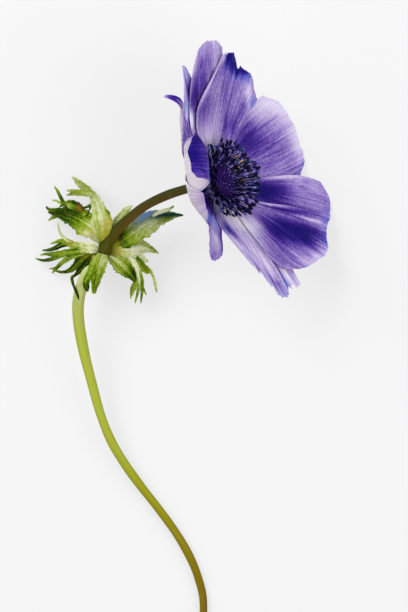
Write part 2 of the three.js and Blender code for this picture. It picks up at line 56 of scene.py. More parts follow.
# %% [markdown]
# The plant is set out in millimetres from a fixed point of the table, which
# is found once from the box of the stem. The bloom leans 60 degrees from
# upright and heads a little to +Y. It is built upright in three axes of its
# own and only then leant over: out to its low side, across, and up its axis.

# %% Where the bloom is
MM = 0.001
TILT = math.radians(60)
HEADING = math.radians(17)
AXIS = Vector((math.sin(TILT) * math.cos(HEADING), math.sin(TILT) * math.sin(HEADING), math.cos(TILT)))
LOW = Vector((math.cos(TILT) * math.cos(HEADING), math.cos(TILT) * math.sin(HEADING), -math.sin(TILT)))
ACROSS = AXIS.cross(LOW)
CENTRE = Vector((3.3, 37.2, 30.1))
# the middle of the stem's box where the plant is set out
STEM_MIDDLE = Vector((-19.577, -44.849, 14.423))

low_corner, high_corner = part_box("stem")
SHIFT = (Vector(low_corner) + Vector(high_corner)) * (0.5 / MM) - STEM_MIDDLE


def place(point):
    """A point of the layout in millimetres, as metres in the frame."""
    return (Vector(point) + SHIFT) * MM


def place_rows(points):
    """Many points of the layout in millimetres, one a row, as metres."""
    return (points + np.array(SHIFT)) * MM


def place_on_bloom(points):
    """Many points of the bloom (out, across, up its axis; mm), as metres."""
    turn = np.array([LOW, ACROSS, AXIS])
    return place_rows(np.asarray(points, dtype=float) @ turn + np.array(CENTRE))


print("bloom centre at", [round(c, 4) for c in place(CENTRE)])

# %% [markdown]
# Every finish is a small tree of nodes. Helpers keep the trees readable: one
# gives an empty material, one adds a node and sets its values by name, one
# joins two sockets, and one ends the tree with its shader.

# %% Helpers for materials
def srgb(r, g, b):
    """A colour read as 0-255 display values, as the linear values nodes use."""
    out = []
    for c in (r, g, b):
        c = c / 255
        out.append(c / 12.92 if c <= 0.04045 else ((c + 0.055) / 1.055) ** 2.4)
    return (*out, 1.0)


def new_material(name):
    """A material without any nodes."""
    m = bpy.data.materials.new(name)
    m.use_nodes = True
    m.node_tree.nodes.clear()
    return m


def node(tree, kind, **values):
    """A new shader node with its properties or input values set by name."""
    new = tree.nodes.new("ShaderNode" + kind)
    for key, value in values.items():
        if hasattr(new, key):
            setattr(new, key, value)
        else:
            new.inputs[key.replace("_", " ")].default_value = value
    return new


def join(tree, a, b):
    """Links socket a to socket b."""
    tree.links.new(a, b)


def close_tree(tree, shader):
    """Ends a material with its shader."""
    end = node(tree, "OutputMaterial")
    join(tree, shader, end.inputs["Surface"])


print("half-bright grey is", round(srgb(128, 128, 128)[0], 3), "in linear values")

# %% [markdown]
# The camera looks straight down on the table from a metre above it, as one
# looks at a cut flower laid on a desk. From so far the lens is a long one, and
# nothing is drawn out of shape towards the corners.

# %% The camera
CAMERA_HEIGHT = 1030
FOCAL_LENGTH = 196.1
SENSOR_WIDTH = 36
FARTHEST_SEEN = 20

bpy.ops.object.camera_add(location=place((0, 0, CAMERA_HEIGHT)), rotation=(0, 0, 0))
camera = bpy.context.object
camera.name = "camera"
camera.data.sensor_width = SENSOR_WIDTH
camera.data.lens = FOCAL_LENGTH
camera.data.clip_end = FARTHEST_SEEN
bpy.context.scene.camera = camera
print("camera", CAMERA_HEIGHT, "mm up, lens", FOCAL_LENGTH, "mm")

# %% [markdown]
# The table is plain and pale. It could be white paint under strong light, but
# then it would darken away from the lamps. A dim grey with an even glow added
# is as pale at the edges as in the middle, and still takes a faint shadow.

# %% The table
TABLE_SIZE = 6
TABLE_GREY = (0.2, 0.2, 0.2, 1)
GLOW_COLOUR = (0.95, 0.95, 0.955, 1)
GLOW_STRENGTH = 0.63


def table_material():
    """A dim grey that takes shadows, with an even pale glow added."""
    m = new_material("table_top")
    t = m.node_tree
    grey = node(t, "BsdfDiffuse", Color=TABLE_GREY)
    glow = node(t, "Emission", Color=GLOW_COLOUR, Strength=GLOW_STRENGTH)
    both = node(t, "AddShader")
    join(t, grey.outputs[0], both.inputs[0])
    join(t, glow.outputs[0], both.inputs[1])
    close_tree(t, both.outputs[0])
    return m


bpy.ops.mesh.primitive_plane_add(size=TABLE_SIZE, location=(0, 0, 0))
floor = bpy.context.object
floor.name = "table_top"
floor.data.materials.append(table_material())
print("table top:", TABLE_SIZE, "m square")

# %% [markdown]
# The flower stands in soft light from all round, with two large lamps hung over
# it. A small lamp or a sun would cut the petals into hard light and shade.

# %% The lights
ROOM_COLOUR = (1, 1, 1, 1)
ROOM_LIGHT = 0.7
# where each lamp hangs (mm), how wide it is (m) and its power (W)
LAMPS = {
    "key_light": ((-420, 380, 620), 0.5, 6.8),
    "fill_light": ((520, -120, 560), 0.6, 3.4),
}


def hang_lamp(name, at, size, power):
    """A large square lamp, aimed at the bloom."""
    bpy.ops.object.light_add(type="AREA", location=place(at))
    lamp = bpy.context.object
    lamp.name = name
    lamp.data.size = size
    lamp.data.energy = power
    aim = place(CENTRE) - lamp.location
    lamp.rotation_euler = aim.to_track_quat("-Z", "Y").to_euler()


for name, lamp_values in LAMPS.items():
    hang_lamp(name, *lamp_values)

world = bpy.data.worlds.new("studio")
bpy.context.scene.world = world
world.use_nodes = True
room = world.node_tree.nodes["Background"]
room.inputs["Color"].default_value = ROOM_COLOUR
room.inputs["Strength"].default_value = ROOM_LIGHT
bpy.context.scene.view_settings.view_transform = "Standard"
print("lamps:", ", ".join(LAMPS))

# %% [markdown]
# A pattern is a sum of masks from 0 to 1. Each sum is a Math node, and a tree
# has dozens of them, so they get short names of their own.

# %% Sums of masks
def feed(tree, value, socket):
    """Sets a socket to a number or colour, or links another socket to it."""
    if isinstance(value, (int, float, tuple)):
        socket.default_value = value
    else:
        join(tree, value, socket)


def maths(tree, operation, a, b=None, clamp=False):
    """A Math node on sockets or numbers; gives its output socket."""
    m = node(tree, "Math", operation=operation, use_clamp=clamp)
    feed(tree, a, m.inputs[0])
    if b is not None:
        feed(tree, b, m.inputs[1])
    return m.outputs[0]


def plus(tree, a, b, clamp=False):
    """The sum of two masks or numbers."""
    return maths(tree, "ADD", a, b, clamp)


def less(tree, a, b, clamp=False):
    """What is left of a after b is taken away."""
    return maths(tree, "SUBTRACT", a, b, clamp)


def times(tree, *factors):
    """The product of masks and numbers."""
    product = factors[0]
    for factor in factors[1:]:
        product = maths(tree, "MULTIPLY", product, factor)
    return product


def shares(tree, a, share_a, b, share_b):
    """Two masks added up, each by its own share."""
    return plus(tree, times(tree, a, share_a), times(tree, b, share_b))


print("sums:", plus.__name__, less.__name__, times.__name__, shares.__name__)

# %% [markdown]
# A ramp turns a mask into colours, and another mask blends two of them. Masks
# come from painted attributes and from a fine noise, which reads Object
# coordinates so that it stays fixed on its piece.

# %% Colours, attributes and noise
def ramp(tree, factor, stops):
    """A colour ramp through (position, colour) stops; gives its colour."""
    r = node(tree, "ValToRGB")
    e = r.color_ramp.elements
    while len(e) < len(stops):
        e.new(0.5)
    for item, (pos, colour) in zip(e, stops):
        item.position = pos
        item.color = colour
    join(tree, factor, r.inputs["Fac"])
    return r.outputs["Color"]


def blend_colour(tree, factor, a, b):
    """Mixes two colours (sockets or values) by a factor socket."""
    m = node(tree, "Mix", data_type="RGBA")
    # a Mix node keeps its colour sockets at places 6 and 7
    for index, value in ((0, factor), (6, a), (7, b)):
        feed(tree, value, m.inputs[index])
    return m.outputs[2]


def attribute(tree, name):
    """The value of a painted attribute of the piece."""
    return node(tree, "Attribute", attribute_name=name).outputs["Fac"]


def fixed_noise(tree, scale, detail, rough=0.5):
    """A noise fixed on the piece, its scale in waves a metre."""
    where = node(tree, "TexCoord")
    noise = node(tree, "TexNoise", Scale=scale, Detail=detail, Roughness=rough)
    join(tree, where.outputs["Object"], noise.inputs["Vector"])
    return noise.outputs["Fac"]


print("helpers ready for colours, attributes and noise")

# %% [markdown]
# Petals, bracts and stem all show fibres that run from the foot of the organ to
# its tip. They could be drawn one by one, but there are thousands, so a noise
# stretched that way stands for them. The finishes share one node group: it
# reads a UV map whose V runs along the organ, and gives the noise coarsely,
# finely, and as thin veins.

# %% Fibres, a shared group
# name, how many times Count, detail and roughness of its noise
FIBRE_KINDS = (("Coarse", 1.0, 2.0, 0.5), ("Fine", 3.1, 3.0, 0.6), ("Veins", 1.9, 0.5, 0.5))
VEIN_SHARPNESS = 16.0
SPREAD_FROM = 0.3
SPREAD_TO = 0.7


def build_fibres():
    """Group: UV, Count, Stretch, Seed in; Coarse, Fine and Veins masks out."""
    g = bpy.data.node_groups.new("fibres", "ShaderNodeTree")
    g.interface.new_socket(name="UV", in_out="INPUT", socket_type="NodeSocketVector")
    for name in ("Count", "Stretch", "Seed"):
        g.interface.new_socket(name=name, in_out="INPUT", socket_type="NodeSocketFloat")
    for label, *_ in FIBRE_KINDS:
        g.interface.new_socket(name=label, in_out="OUTPUT", socket_type="NodeSocketFloat")
    given = g.nodes.new("NodeGroupInput")
    result = g.nodes.new("NodeGroupOutput")
    uv = node(g, "SeparateXYZ")
    join(g, given.outputs["UV"], uv.inputs[0])
    for label, more, detail, rough in FIBRE_KINDS:
        spot = node(g, "CombineXYZ")
        join(g, times(g, uv.outputs["X"], given.outputs["Count"], more), spot.inputs[0])
        join(g, times(g, uv.outputs["Y"], given.outputs["Stretch"]), spot.inputs[1])
        join(g, given.outputs["Seed"], spot.inputs[2])
        noise = node(g, "TexNoise", Scale=1.0, Detail=detail, Roughness=rough)
        join(g, spot.outputs[0], noise.inputs["Vector"])
        value = noise.outputs["Fac"]
        if label == "Veins":
            # thin lines where the noise crosses its middle value
            off = maths(g, "ABSOLUTE", less(g, value, 0.5))
            mask = less(g, 1.0, times(g, off, VEIN_SHARPNESS), clamp=True)
        else:
            spread = node(g, "MapRange", From_Min=SPREAD_FROM, From_Max=SPREAD_TO)
            join(g, value, spread.inputs["Value"])
            mask = spread.outputs["Result"]
        join(g, mask, result.inputs[label])
    return g


def fibres(tree, uv_name, count, stretch, seed):
    """Places the group in a material: gives (coarse, fine, veins) sockets."""
    uv = node(tree, "UVMap", uv_map=uv_name)
    g = node(tree, "Group", node_tree=FIBRES, Count=count, Stretch=stretch)
    feed(tree, seed, g.inputs["Seed"])
    join(tree, uv.outputs[0], g.inputs["UV"])
    return g.outputs["Coarse"], g.outputs["Fine"], g.outputs["Veins"]


FIBRES = build_fibres()
print("group made:", FIBRES.name, "with", len(FIBRES.nodes), "nodes")

# %% [markdown]
# A petal is a thin, moist, faintly velvety sheet that lets light through. A
# sheet could be made see-through, but real petals glow without showing what is
# behind them, so a share of translucent light is mixed into a matt skin.

# %% Skins that let light through
def lit_skin(tree, colour, height, strength, distance, rough, gloss):
    """A slightly bumpy skin; gives the output of its shader."""
    bump = node(tree, "Bump", Strength=strength, Distance=distance)
    join(tree, height, bump.inputs["Height"])
    skin = node(tree, "BsdfPrincipled", Roughness=rough, Specular_IOR_Level=gloss)
    join(tree, colour, skin.inputs["Base Color"])
    join(tree, bump.outputs[0], skin.inputs["Normal"])
    return skin.outputs[0]


def finish_leafy(tree, colour, height, through, **skin_values):
    """A lit skin with a share of light coming through from behind."""
    front = lit_skin(tree, colour, height, **skin_values)
    back = node(tree, "BsdfTranslucent")
    join(tree, colour, back.inputs["Color"])
    mix = node(tree, "MixShader")
    mix.inputs[0].default_value = through
    join(tree, front, mix.inputs[1])
    join(tree, back.outputs[0], mix.inputs[2])
    close_tree(tree, mix.outputs[0])


print("leafy skins: a lit front and light from behind")

# %% [markdown]
# The pigment of the inner face is painted as attributes (deep violet, blue
# edge, white foot), and the fibres break it into streaks. Painted attributes
# alone would look airbrushed, and fibres alone would look even all over. The
# outer face is silky and far paler.

# %% Petal finishes
def petal_face_material():
    """Violet in streaks, with blue edges and a white foot."""
    m = new_material("petal_face")
    t = m.node_tree
    coarse, fine, veins = fibres(t, "Petal", 15.0, 2.4, attribute(t, "seed"))
    # the limp skin is finely crinkled, which mottles the pigment
    mottle = less(t, fixed_noise(t, 1100.0, 3.0, 0.6), 0.5)
    deep = attribute(t, "deep")
    # streaks are strongest where the pigment is neither full nor absent
    room = times(t, deep, less(t, 1.2, deep))
    swing = times(t, plus(t, times(t, room, 1.3), 0.06), attribute(t, "crisp"))
    streak = shares(t, coarse, 0.38, fine, 0.62)
    level = plus(t, deep, times(t, less(t, streak, 0.5), swing))
    level = plus(t, level, times(t, mottle, room, 1.2))
    level = plus(t, level, times(t, veins, room, 0.6), clamp=True)
    violet = ramp(t, level, [
        (0.00, srgb(238, 232, 248)),
        (0.18, srgb(200, 186, 226)),
        (0.36, srgb(158, 137, 200)),
        (0.55, srgb(113, 85, 172)),
        (0.75, srgb(66, 36, 142)),
        (1.00, srgb(18, 0, 104)),
    ])
    blue_edge = ramp(t, level, [
        (0.00, srgb(150, 180, 236)),
        (0.40, srgb(92, 104, 206)),
        (0.70, srgb(44, 44, 166)),
        (1.00, srgb(12, 8, 110)),
    ])
    blue = blend_colour(t, attribute(t, "blue"), violet, blue_edge)
    # the white also carries a few dabs of painted light on the lower petals
    colour = blend_colour(t, attribute(t, "white"), blue, srgb(244, 240, 248))
    height = plus(t, shares(t, coarse, 0.5, fine, 0.4), mottle)
    finish_leafy(t, colour, height, through=0.28, strength=0.35, distance=0.00025, rough=0.6, gloss=0.1)
    return m


def petal_back_material():
    """Silky lilac, partly grey as painted shade, violet only towards the rim."""
    m = new_material("petal_back")
    t = m.node_tree
    coarse, fine, veins = fibres(t, "Petal", 12.0, 1.0, attribute(t, "seed"))
    streak = shares(t, coarse, 0.5, fine, 0.5)
    level = plus(t, attribute(t, "deep_back"), times(t, less(t, streak, 0.5), 0.26))
    level = plus(t, level, times(t, veins, 0.08), clamp=True)
    colour = ramp(t, level, [
        (0.00, srgb(236, 230, 232)),
        (0.25, srgb(208, 198, 208)),
        # this stop is greyed as painted shade of the outer faces
        (0.50, srgb(180, 164, 196)),
        (0.75, srgb(132, 106, 186)),
        (1.00, srgb(70, 44, 146)),
    ])
    finish_leafy(t, colour, streak, through=0.30, strength=0.3, distance=0.0002, rough=0.5, gloss=0.15)
    return m


PETAL_FACE = petal_face_material()
PETAL_BACK = petal_back_material()
print("petal finishes:", PETAL_FACE.name, PETAL_BACK.name)

# %% [markdown]
# Each petal is cut from a flat blank first. `tip` is its length at nine places
# across the rim, `plus` and `minus` are the widths of its two halves from claw
# to rim, in millimetres. `az` is its direction (90 is the top of the bloom, 0
# its low right side) and `layer` its whorl, with -1 outermost. `slope` is how
# steeply the bloom rises there, in degrees, at eight distances from its middle.
# `nicks` are small tears in the rim, and `rise_plus` lifts a side off the cup.

# %% Blanks of the petals
PETALS = {
    "petal_top_outer": dict(
        az=89, layer=0,
        tip=(36.6, 38.2, 38.6, 38.8, 38.9, 38.2, 36.8, 34.6, 31.4),
        plus=(1.6, 5.6, 10.2, 12.6, 12.0, 9.4), minus=(1.6, 5, 7.6, 8.8, 9, 8.6),
        slope=(12, 16, 18, 18, 17, 16, 16, 16)),
    "petal_top_inner": dict(
        az=72, layer=1,
        tip=(25.0, 30.6, 32.6, 34.2, 36.0, 35.8, 35.2, 34.4, 33.3),
        plus=(1.8, 10.5, 15.4, 13.2, 9.2, 5.4), minus=(1.8, 4.8, 7.8, 9.4, 12.4, 15.6),
        nicks=((-0.29, 1.6, 0.05), (-0.62, 0.5, 0.05))),
    "petal_right_upper": dict(
        az=11, layer=-1,
        tip=(32.5, 36.6, 38.3, 39.0, 39.3, 39.0, 38.0, 35.4, 29),
        plus=(1.6, 6.5, 11, 14, 16, 16.6), minus=(1.6, 5, 8.5, 11, 12.3, 12.4),
        slope=(12, 16, 18, 18, 17, 15, 14, 14)),
    "petal_right_middle": dict(
        az=-30, layer=0,
        tip=(36, 39.2, 40.4, 41.2, 41.8, 42.6, 43.0, 42.2, 38.6),
        plus=(1.6, 4.5, 8, 11.3, 13.8, 14.4), minus=(1.6, 3.5, 5.5, 7.5, 8.5, 8),
        slope=(12, 18, 19, 19, 19, 17, 16, 16)),
    "petal_right_lower": dict(
        az=-47, layer=1,
        tip=(27, 32.2, 35.8, 38.3, 40.4, 41.3, 40.6, 38.8, 38.2),
        plus=(1.4, 1.6, 4.4, 8.3, 11.7, 15.1), minus=(1.6, 5, 8.4, 11.3, 13.8, 14.2),
        slope=(12, 18, 19, 19, 18, 16, 15, 15)),
    "petal_bottom_outer": dict(
        az=-70, layer=-1,
        tip=(31, 33, 34.2, 35.4, 36, 36.4, 37.3, 37.6, 35.5),
        plus=(1.6, 4, 6, 7, 6.2, 4.6), minus=(1.6, 4, 6, 7, 7, 6.5),
        slope=(10, 15, 15, 15, 14, 12, 12, 12)),
    "petal_bottom_inner": dict(
        az=-86, layer=0,
        tip=(23.4, 26.4, 28.8, 33.2, 36, 36.8, 37, 36.6, 34.4),
        plus=(1.6, 3.5, 5.5, 6.5, 7, 7), minus=(3.8, 8.4, 10.4, 9.6, 7.8, 6.7),
        nicks=((-0.22, 3.2, 0.045), (-0.5, 2.2, 0.05)),
        slope=(10, 14, 15, 14, 13, 11, 10, 10)),
    "petal_hanging": dict(
        az=-145, layer=-1,
        tip=(34.5, 34.8, 35.2, 35.8, 36.2, 36, 35, 33, 30),
        plus=(3.4, 6.2, 7.0, 6.3, 5.5, 4.2), minus=(1.6, 1.2, 0.0, 0.6, 3.0, 3.6),
        slope=(4, 10, 18, 24, 22, 14, 2, 0), rise_plus=(0, 0.4, 1)),
    "petal_near_lower": dict(
        az=-169, layer=0,
        tip=(15, 23.5, 27.2, 27.8, 27.2, 26.6, 27.0, 26.8, 24.5),
        plus=(2.6, 6, 8.2, 9.2, 9.0, 7), minus=(1.6, 4, 7, 8.4, 7.8, 5.4),
        slope=(0, 2, 6, 34, 64, 50, 0, 0)),
    "petal_near_upper": dict(
        az=165, layer=1,
        tip=(34.2, 36.6, 38.2, 39.4, 40.1, 39.9, 39.6, 39.6, 38.2),
        plus=(1.6, 5, 8, 10, 10.4, 9.4), minus=(1.6, 4, 6.4, 7.0, 8.0, 7.2),
        slope=(0, 3, 9, 34, 67, 64, -20, -60)),
    "petal_curled": dict(
        az=135, layer=0,
        tip=(24, 29, 33.4, 37.2, 38.8, 37.2, 33.4, 29, 24),
        plus=(0.8, 2.5, 4.2, 5.6, 6.2, 4.0), minus=(0.6, 1.3, 2.3, 3.6, 4.4, 3),
        slope=(0, 4, 12, 24, 30, 34, -40, -80), rise_plus=(0, 0, 0.2, 0.6, 1.6)),
    "petal_narrow": dict(
        az=110.5, layer=-1,
        tip=(22, 27, 31, 34, 35, 33.6, 31, 27, 22),
        plus=(0.8, 3.2, 5.6, 7.4, 8.2, 6.4), minus=(0.8, 3.2, 5, 6.2, 6.6, 5),
        slope=(8, 13, 17, 18, 17, 16, 16, 16)),
}
# between the petals, at 50 degrees, the bloom is given a slope of its own
FILL = (50, (12, 17, 20, 21, 20, 18, 17, 17))

print("blanks:", len(PETALS), "longest:", max(max(p["tip"]) for p in PETALS.values()), "mm")

# %% [markdown]
# Every curve here is given by a few evenly spaced values, and this spline runs
# smoothly through them. Straight lines between the values would show as kinks.

# %% Smooth curves through a few values
def held(values):
    """Values held between 0 and 1."""
    return np.clip(values, 0, 1)


def smooth(values, t):
    """Smooth value at t (0 to 1) through evenly spaced values."""
    v = np.asarray(values, dtype=float)
    last = len(v) - 1
    x = held(t) * last
    i = np.clip(np.floor(x).astype(int), 0, last - 1)
    f = x - i
    a, b, c, d = v[np.clip(i - 1, 0, last)], v[i], v[i + 1], v[np.clip(i + 2, 0, last)]
    return 0.5 * (2 * b + (c - a) * f + (2 * a - 5 * b + 4 * c - d) * f**2 + (3 * b - a - 3 * c + d) * f**3)


print("half way through 0, 1, 0:", float(smooth((0, 1, 0), 0.5)))

# %% [markdown]
# All petals lie in one shallow cup. Petals bent one by one would cut through
# each other, while petals that are only lifts off one cup overlap in order. The
# slopes of all petals blend around the flower, and adding them up from the
# middle outwards gives the cup's radius and height. On the raised side it turns
# up steeply and then rolls over outwards.

# %% The cup of the bloom
# where the petals start and how far apart their whorls lie, in millimetres
CLAW = 3.6
LAYER = 0.7
# the eight slopes are spaced evenly between these distances from the middle
SLOPE_FROM = 4
SLOPE_TO = 46
CUP_REACH = 48
CUP_STEPS = 240


def add_up(rises, step):
    """Adds values up along each row, each step by the mean of its two ends."""
    total = np.zeros_like(rises)
    total[:, 1:] = np.cumsum((rises[:, 1:] + rises[:, :-1]) * step / 2, axis=1)
    return total


def cup_tables():
    """Distances, and the cup's radius, height and slope there, a row a degree."""
    given = sorted([(p["az"] % 360, p["slope"]) for p in PETALS.values() if "slope" in p] + [FILL])
    az = np.array([direction for direction, _ in given])
    rho = np.linspace(CLAW, CUP_REACH, CUP_STEPS)
    t = (rho - SLOPE_FROM) / (SLOPE_TO - SLOPE_FROM)
    rows = []
    for a in range(361):
        j = np.searchsorted(az, a % 360, side="right") - 1
        k = (j + 1) % len(az)
        f = ((a - az[j]) % 360) / ((az[k] - az[j]) % 360)
        f = f * f * (3 - 2 * f)
        rows.append(smooth(given[j][1], t) * (1 - f) + smooth(given[k][1], t) * f)
    slope = np.radians(np.array(rows))
    step = rho[1] - rho[0]
    return rho, CLAW + add_up(np.cos(slope), step), add_up(np.sin(slope), step), slope


CUP_RHO, CUP_RADIUS, CUP_HEIGHT, CUP_SLOPE = cup_tables()


def cup_at(table, rho, psi):
    """Reads one table of the cup at distances and directions (radians)."""
    a = np.degrees(psi) % 360
    i = np.floor(a).astype(int)
    fa = a - i
    x = (np.clip(rho, CUP_RHO[0], CUP_RHO[-1]) - CUP_RHO[0]) / (CUP_RHO[1] - CUP_RHO[0])
    j = np.clip(np.floor(x).astype(int), 0, len(CUP_RHO) - 2)
    fx = x - j
    low = table[i, j] * (1 - fx) + table[i, j + 1] * fx
    high = table[i + 1, j] * (1 - fx) + table[i + 1, j + 1] * fx
    return low * (1 - fa) + high * fa


print("cup rim height on the raised side:", round(float(CUP_HEIGHT[180, -1]), 1), "mm")

# %% [markdown]
# On the real flower no petal is smooth: each has a few long pleats, a rippled
# rim, and an edge worn a little ragged. They could be sculpted, but a short
# list for each petal is easier to change.

# %% Wear and pleats of the petals
# rag: wear of the rim (mm); ripple and waves: height (mm) and number of its ripples
# pleats: (v, lift in mm, width, where it starts)
FORM = {
    "petal_top_outer": dict(rag=0.35, ripple=0.35, waves=9, pleats=(
        (0.5, -0.5, 0.12, 0.2), (0.05, 0.35, 0.1, 0.3), (-0.5, 0.4, 0.1, 0.3), (0.8, -0.3, 0.07, 0.3))),
    "petal_top_inner": dict(rag=0.7, ripple=0.8, waves=11, pleats=(
        (0.92, 1.0, 0.08, 0.1), (0.55, -0.3, 0.1, 0.1), (0.3, 0.5, 0.07, 0.15), (0.02, 0.5, 0.06, 0.2),
        (-0.3, 0.55, 0.06, 0.2), (-0.55, 0.4, 0.05, 0.3), (-0.8, 0.5, 0.06, 0.2))),
    "petal_right_upper": dict(rag=0.12, ripple=-0.5, waves=8, pleats=(
        (0.0, -0.35, 0.1, 0.25), (0.35, -0.35, 0.08, 0.3), (-0.3, -0.35, 0.07, 0.3),
        (-0.6, -0.5, 0.07, 0.3))),
    "petal_right_middle": dict(rag=0.12, ripple=0.3, waves=6, pleats=(
        (0.93, 0.7, 0.1, 0.1), (0.3, -0.3, 0.15, 0.2))),
    "petal_right_lower": dict(rag=0.2, ripple=0.5, waves=8, pleats=(
        (0.98, 2.2, 0.22, 0.05), (0.55, -0.4, 0.12, 0.2), (-0.25, 0.35, 0.05, 0.2), (-0.45, 0.6, 0.05, 0.2),
        (-0.62, 0.5, 0.05, 0.2), (-0.8, 0.6, 0.05, 0.2), (-0.97, 0.4, 0.05, 0.2))),
    "petal_bottom_outer": dict(rag=0.9, ripple=-0.6, waves=12, pleats=(
        (0.5, -0.5, 0.1, 0.1), (0.1, -0.6, 0.1, 0.1), (-0.4, -0.6, 0.1, 0.1))),
    "petal_bottom_inner": dict(rag=0.9, ripple=0.5, waves=10, pleats=(
        (0.75, 0.6, 0.09, 0.1), (0.4, 0.6, 0.08, 0.1), (0.08, 0.7, 0.07, 0.1), (-0.15, 0.7, 0.05, 0.1),
        (-0.45, 0.5, 0.06, 0.1), (-0.8, 0.4, 0.06, 0.1))),
    "petal_hanging": dict(rag=0.5, ripple=0.3, waves=5, pleats=(
        (0.5, 0.3, 0.12, 0.3), (-0.3, 0.3, 0.1, 0.3))),
    "petal_near_lower": dict(rag=0.1, ripple=0.15, waves=6, pleats=(
        (0.2, 0.2, 0.1, 0.2), (-0.4, 0.2, 0.1, 0.2))),
    "petal_near_upper": dict(rag=0.08, ripple=0.1, waves=6, pleats=(
        (0.3, 0.15, 0.12, 0.3), (-0.3, 0.15, 0.12, 0.3))),
    "petal_curled": dict(rag=0.4, ripple=0.2, waves=5, pleats=((0.0, -0.3, 0.15, 0.2),)),
    "petal_narrow": dict(rag=0.5, ripple=0.2, waves=5, pleats=((0.1, -0.4, 0.12, 0.2),)),
}

print("pleats:", sum(len(form["pleats"]) for form in FORM.values()))

# %% [markdown]
# One function bends a flat blank into a petal: u runs from claw to rim and v
# across it. Pleats and ripples are small lifts off the cup. The rim is ragged
# by a sum of waves, and veins stand a few hundredths of a millimetre proud:
# they are in the mesh and not only in its finish, so that they catch the light.

# %% Bending a petal
# waves of wear on the rim: how many, strength, offset, times the seed
WEAR = ((9, 1.0, 0, 1), (21, 0.7, 1, 1), (43, 0.5, 0, 2), (87, 0.4, 0, 1), (150, 0.3, 0, 3))
WEAR_SHARE = 0.45
# share of the petal's length from which its ripples start
RIPPLE_FROM = 0.45
# waves and height (mm) of the veins, and of the finer ones between them
VEINS = 40
VEIN_HEIGHT = 0.035
VEINLETS = 83
VEINLET_HEIGHT = 0.022


def vein_lift(u, v, seed):
    """Proud veins: they wander, and finer ones join them on the way out."""
    wander = 0.6 * np.sin(5 * u + seed) + 0.4 * np.sin(11 * u + 2 * seed + 3 * v)
    lift = VEIN_HEIGHT * np.sin(VEINS * v + wander) * held(u * 4) * held((1 - u) * 8)
    return lift + VEINLET_HEIGHT * np.sin(VEINLETS * v + 2 * wander + seed) * held(u * 2 - 0.3)


def petal_points(p, form, u, v, seed):
    """Places blank points (u, v) on the bloom; gives mm in bloom axes."""
    tip = smooth(p["tip"], (v + 1) / 2)
    for centre, cut, width in p.get("nicks", ()):
        tip -= cut * np.exp(-(((v - centre) / width) ** 2))
    worn = sum(strong * np.sin(waves * v + offset + turns * seed) for waves, strong, offset, turns in WEAR)
    tip += form["rag"] * worn * WEAR_SHARE
    along = u * tip
    y = v * np.where(v > 0, smooth(p["plus"], u), smooth(p["minus"], u))
    rho = np.hypot(CLAW + along, y)
    psi = math.radians(p["az"]) + np.arctan2(y, CLAW + along)
    slope = cup_at(CUP_SLOPE, rho, psi)
    rise = np.where(v > 0, smooth(p.get("rise_plus", (0, 0)), along / max(p["tip"])), 0)
    lift = p["layer"] * LAYER + rise * v * v
    ripple = held((u - RIPPLE_FROM) / (1 - RIPPLE_FROM)) ** 2
    lift += form["ripple"] * ripple * (0.5 + 0.5 * np.sin(form["waves"] * v + seed))
    for centre, high, width, start in form["pleats"]:
        ridge = held((u - start) / (1 - start))
        lift += high * np.exp(-(((v - centre) / width) ** 2)) * ridge * (1.15 - 0.5 * ridge)
    lift += vein_lift(u, v, seed)
    r = cup_at(CUP_RADIUS, rho, psi) - np.sin(slope) * lift
    z = cup_at(CUP_HEIGHT, rho, psi) + np.cos(slope) * lift
    return np.stack([r * np.cos(psi), r * np.sin(psi), z], axis=-1)


TOP = "petal_top_outer"
rim_middle = petal_points(PETALS[TOP], FORM[TOP], np.array([1.0]), np.array([0.0]), 0)
print("top petal's rim stands", round(float(rim_middle[0, 2]), 1), "mm above its claw")
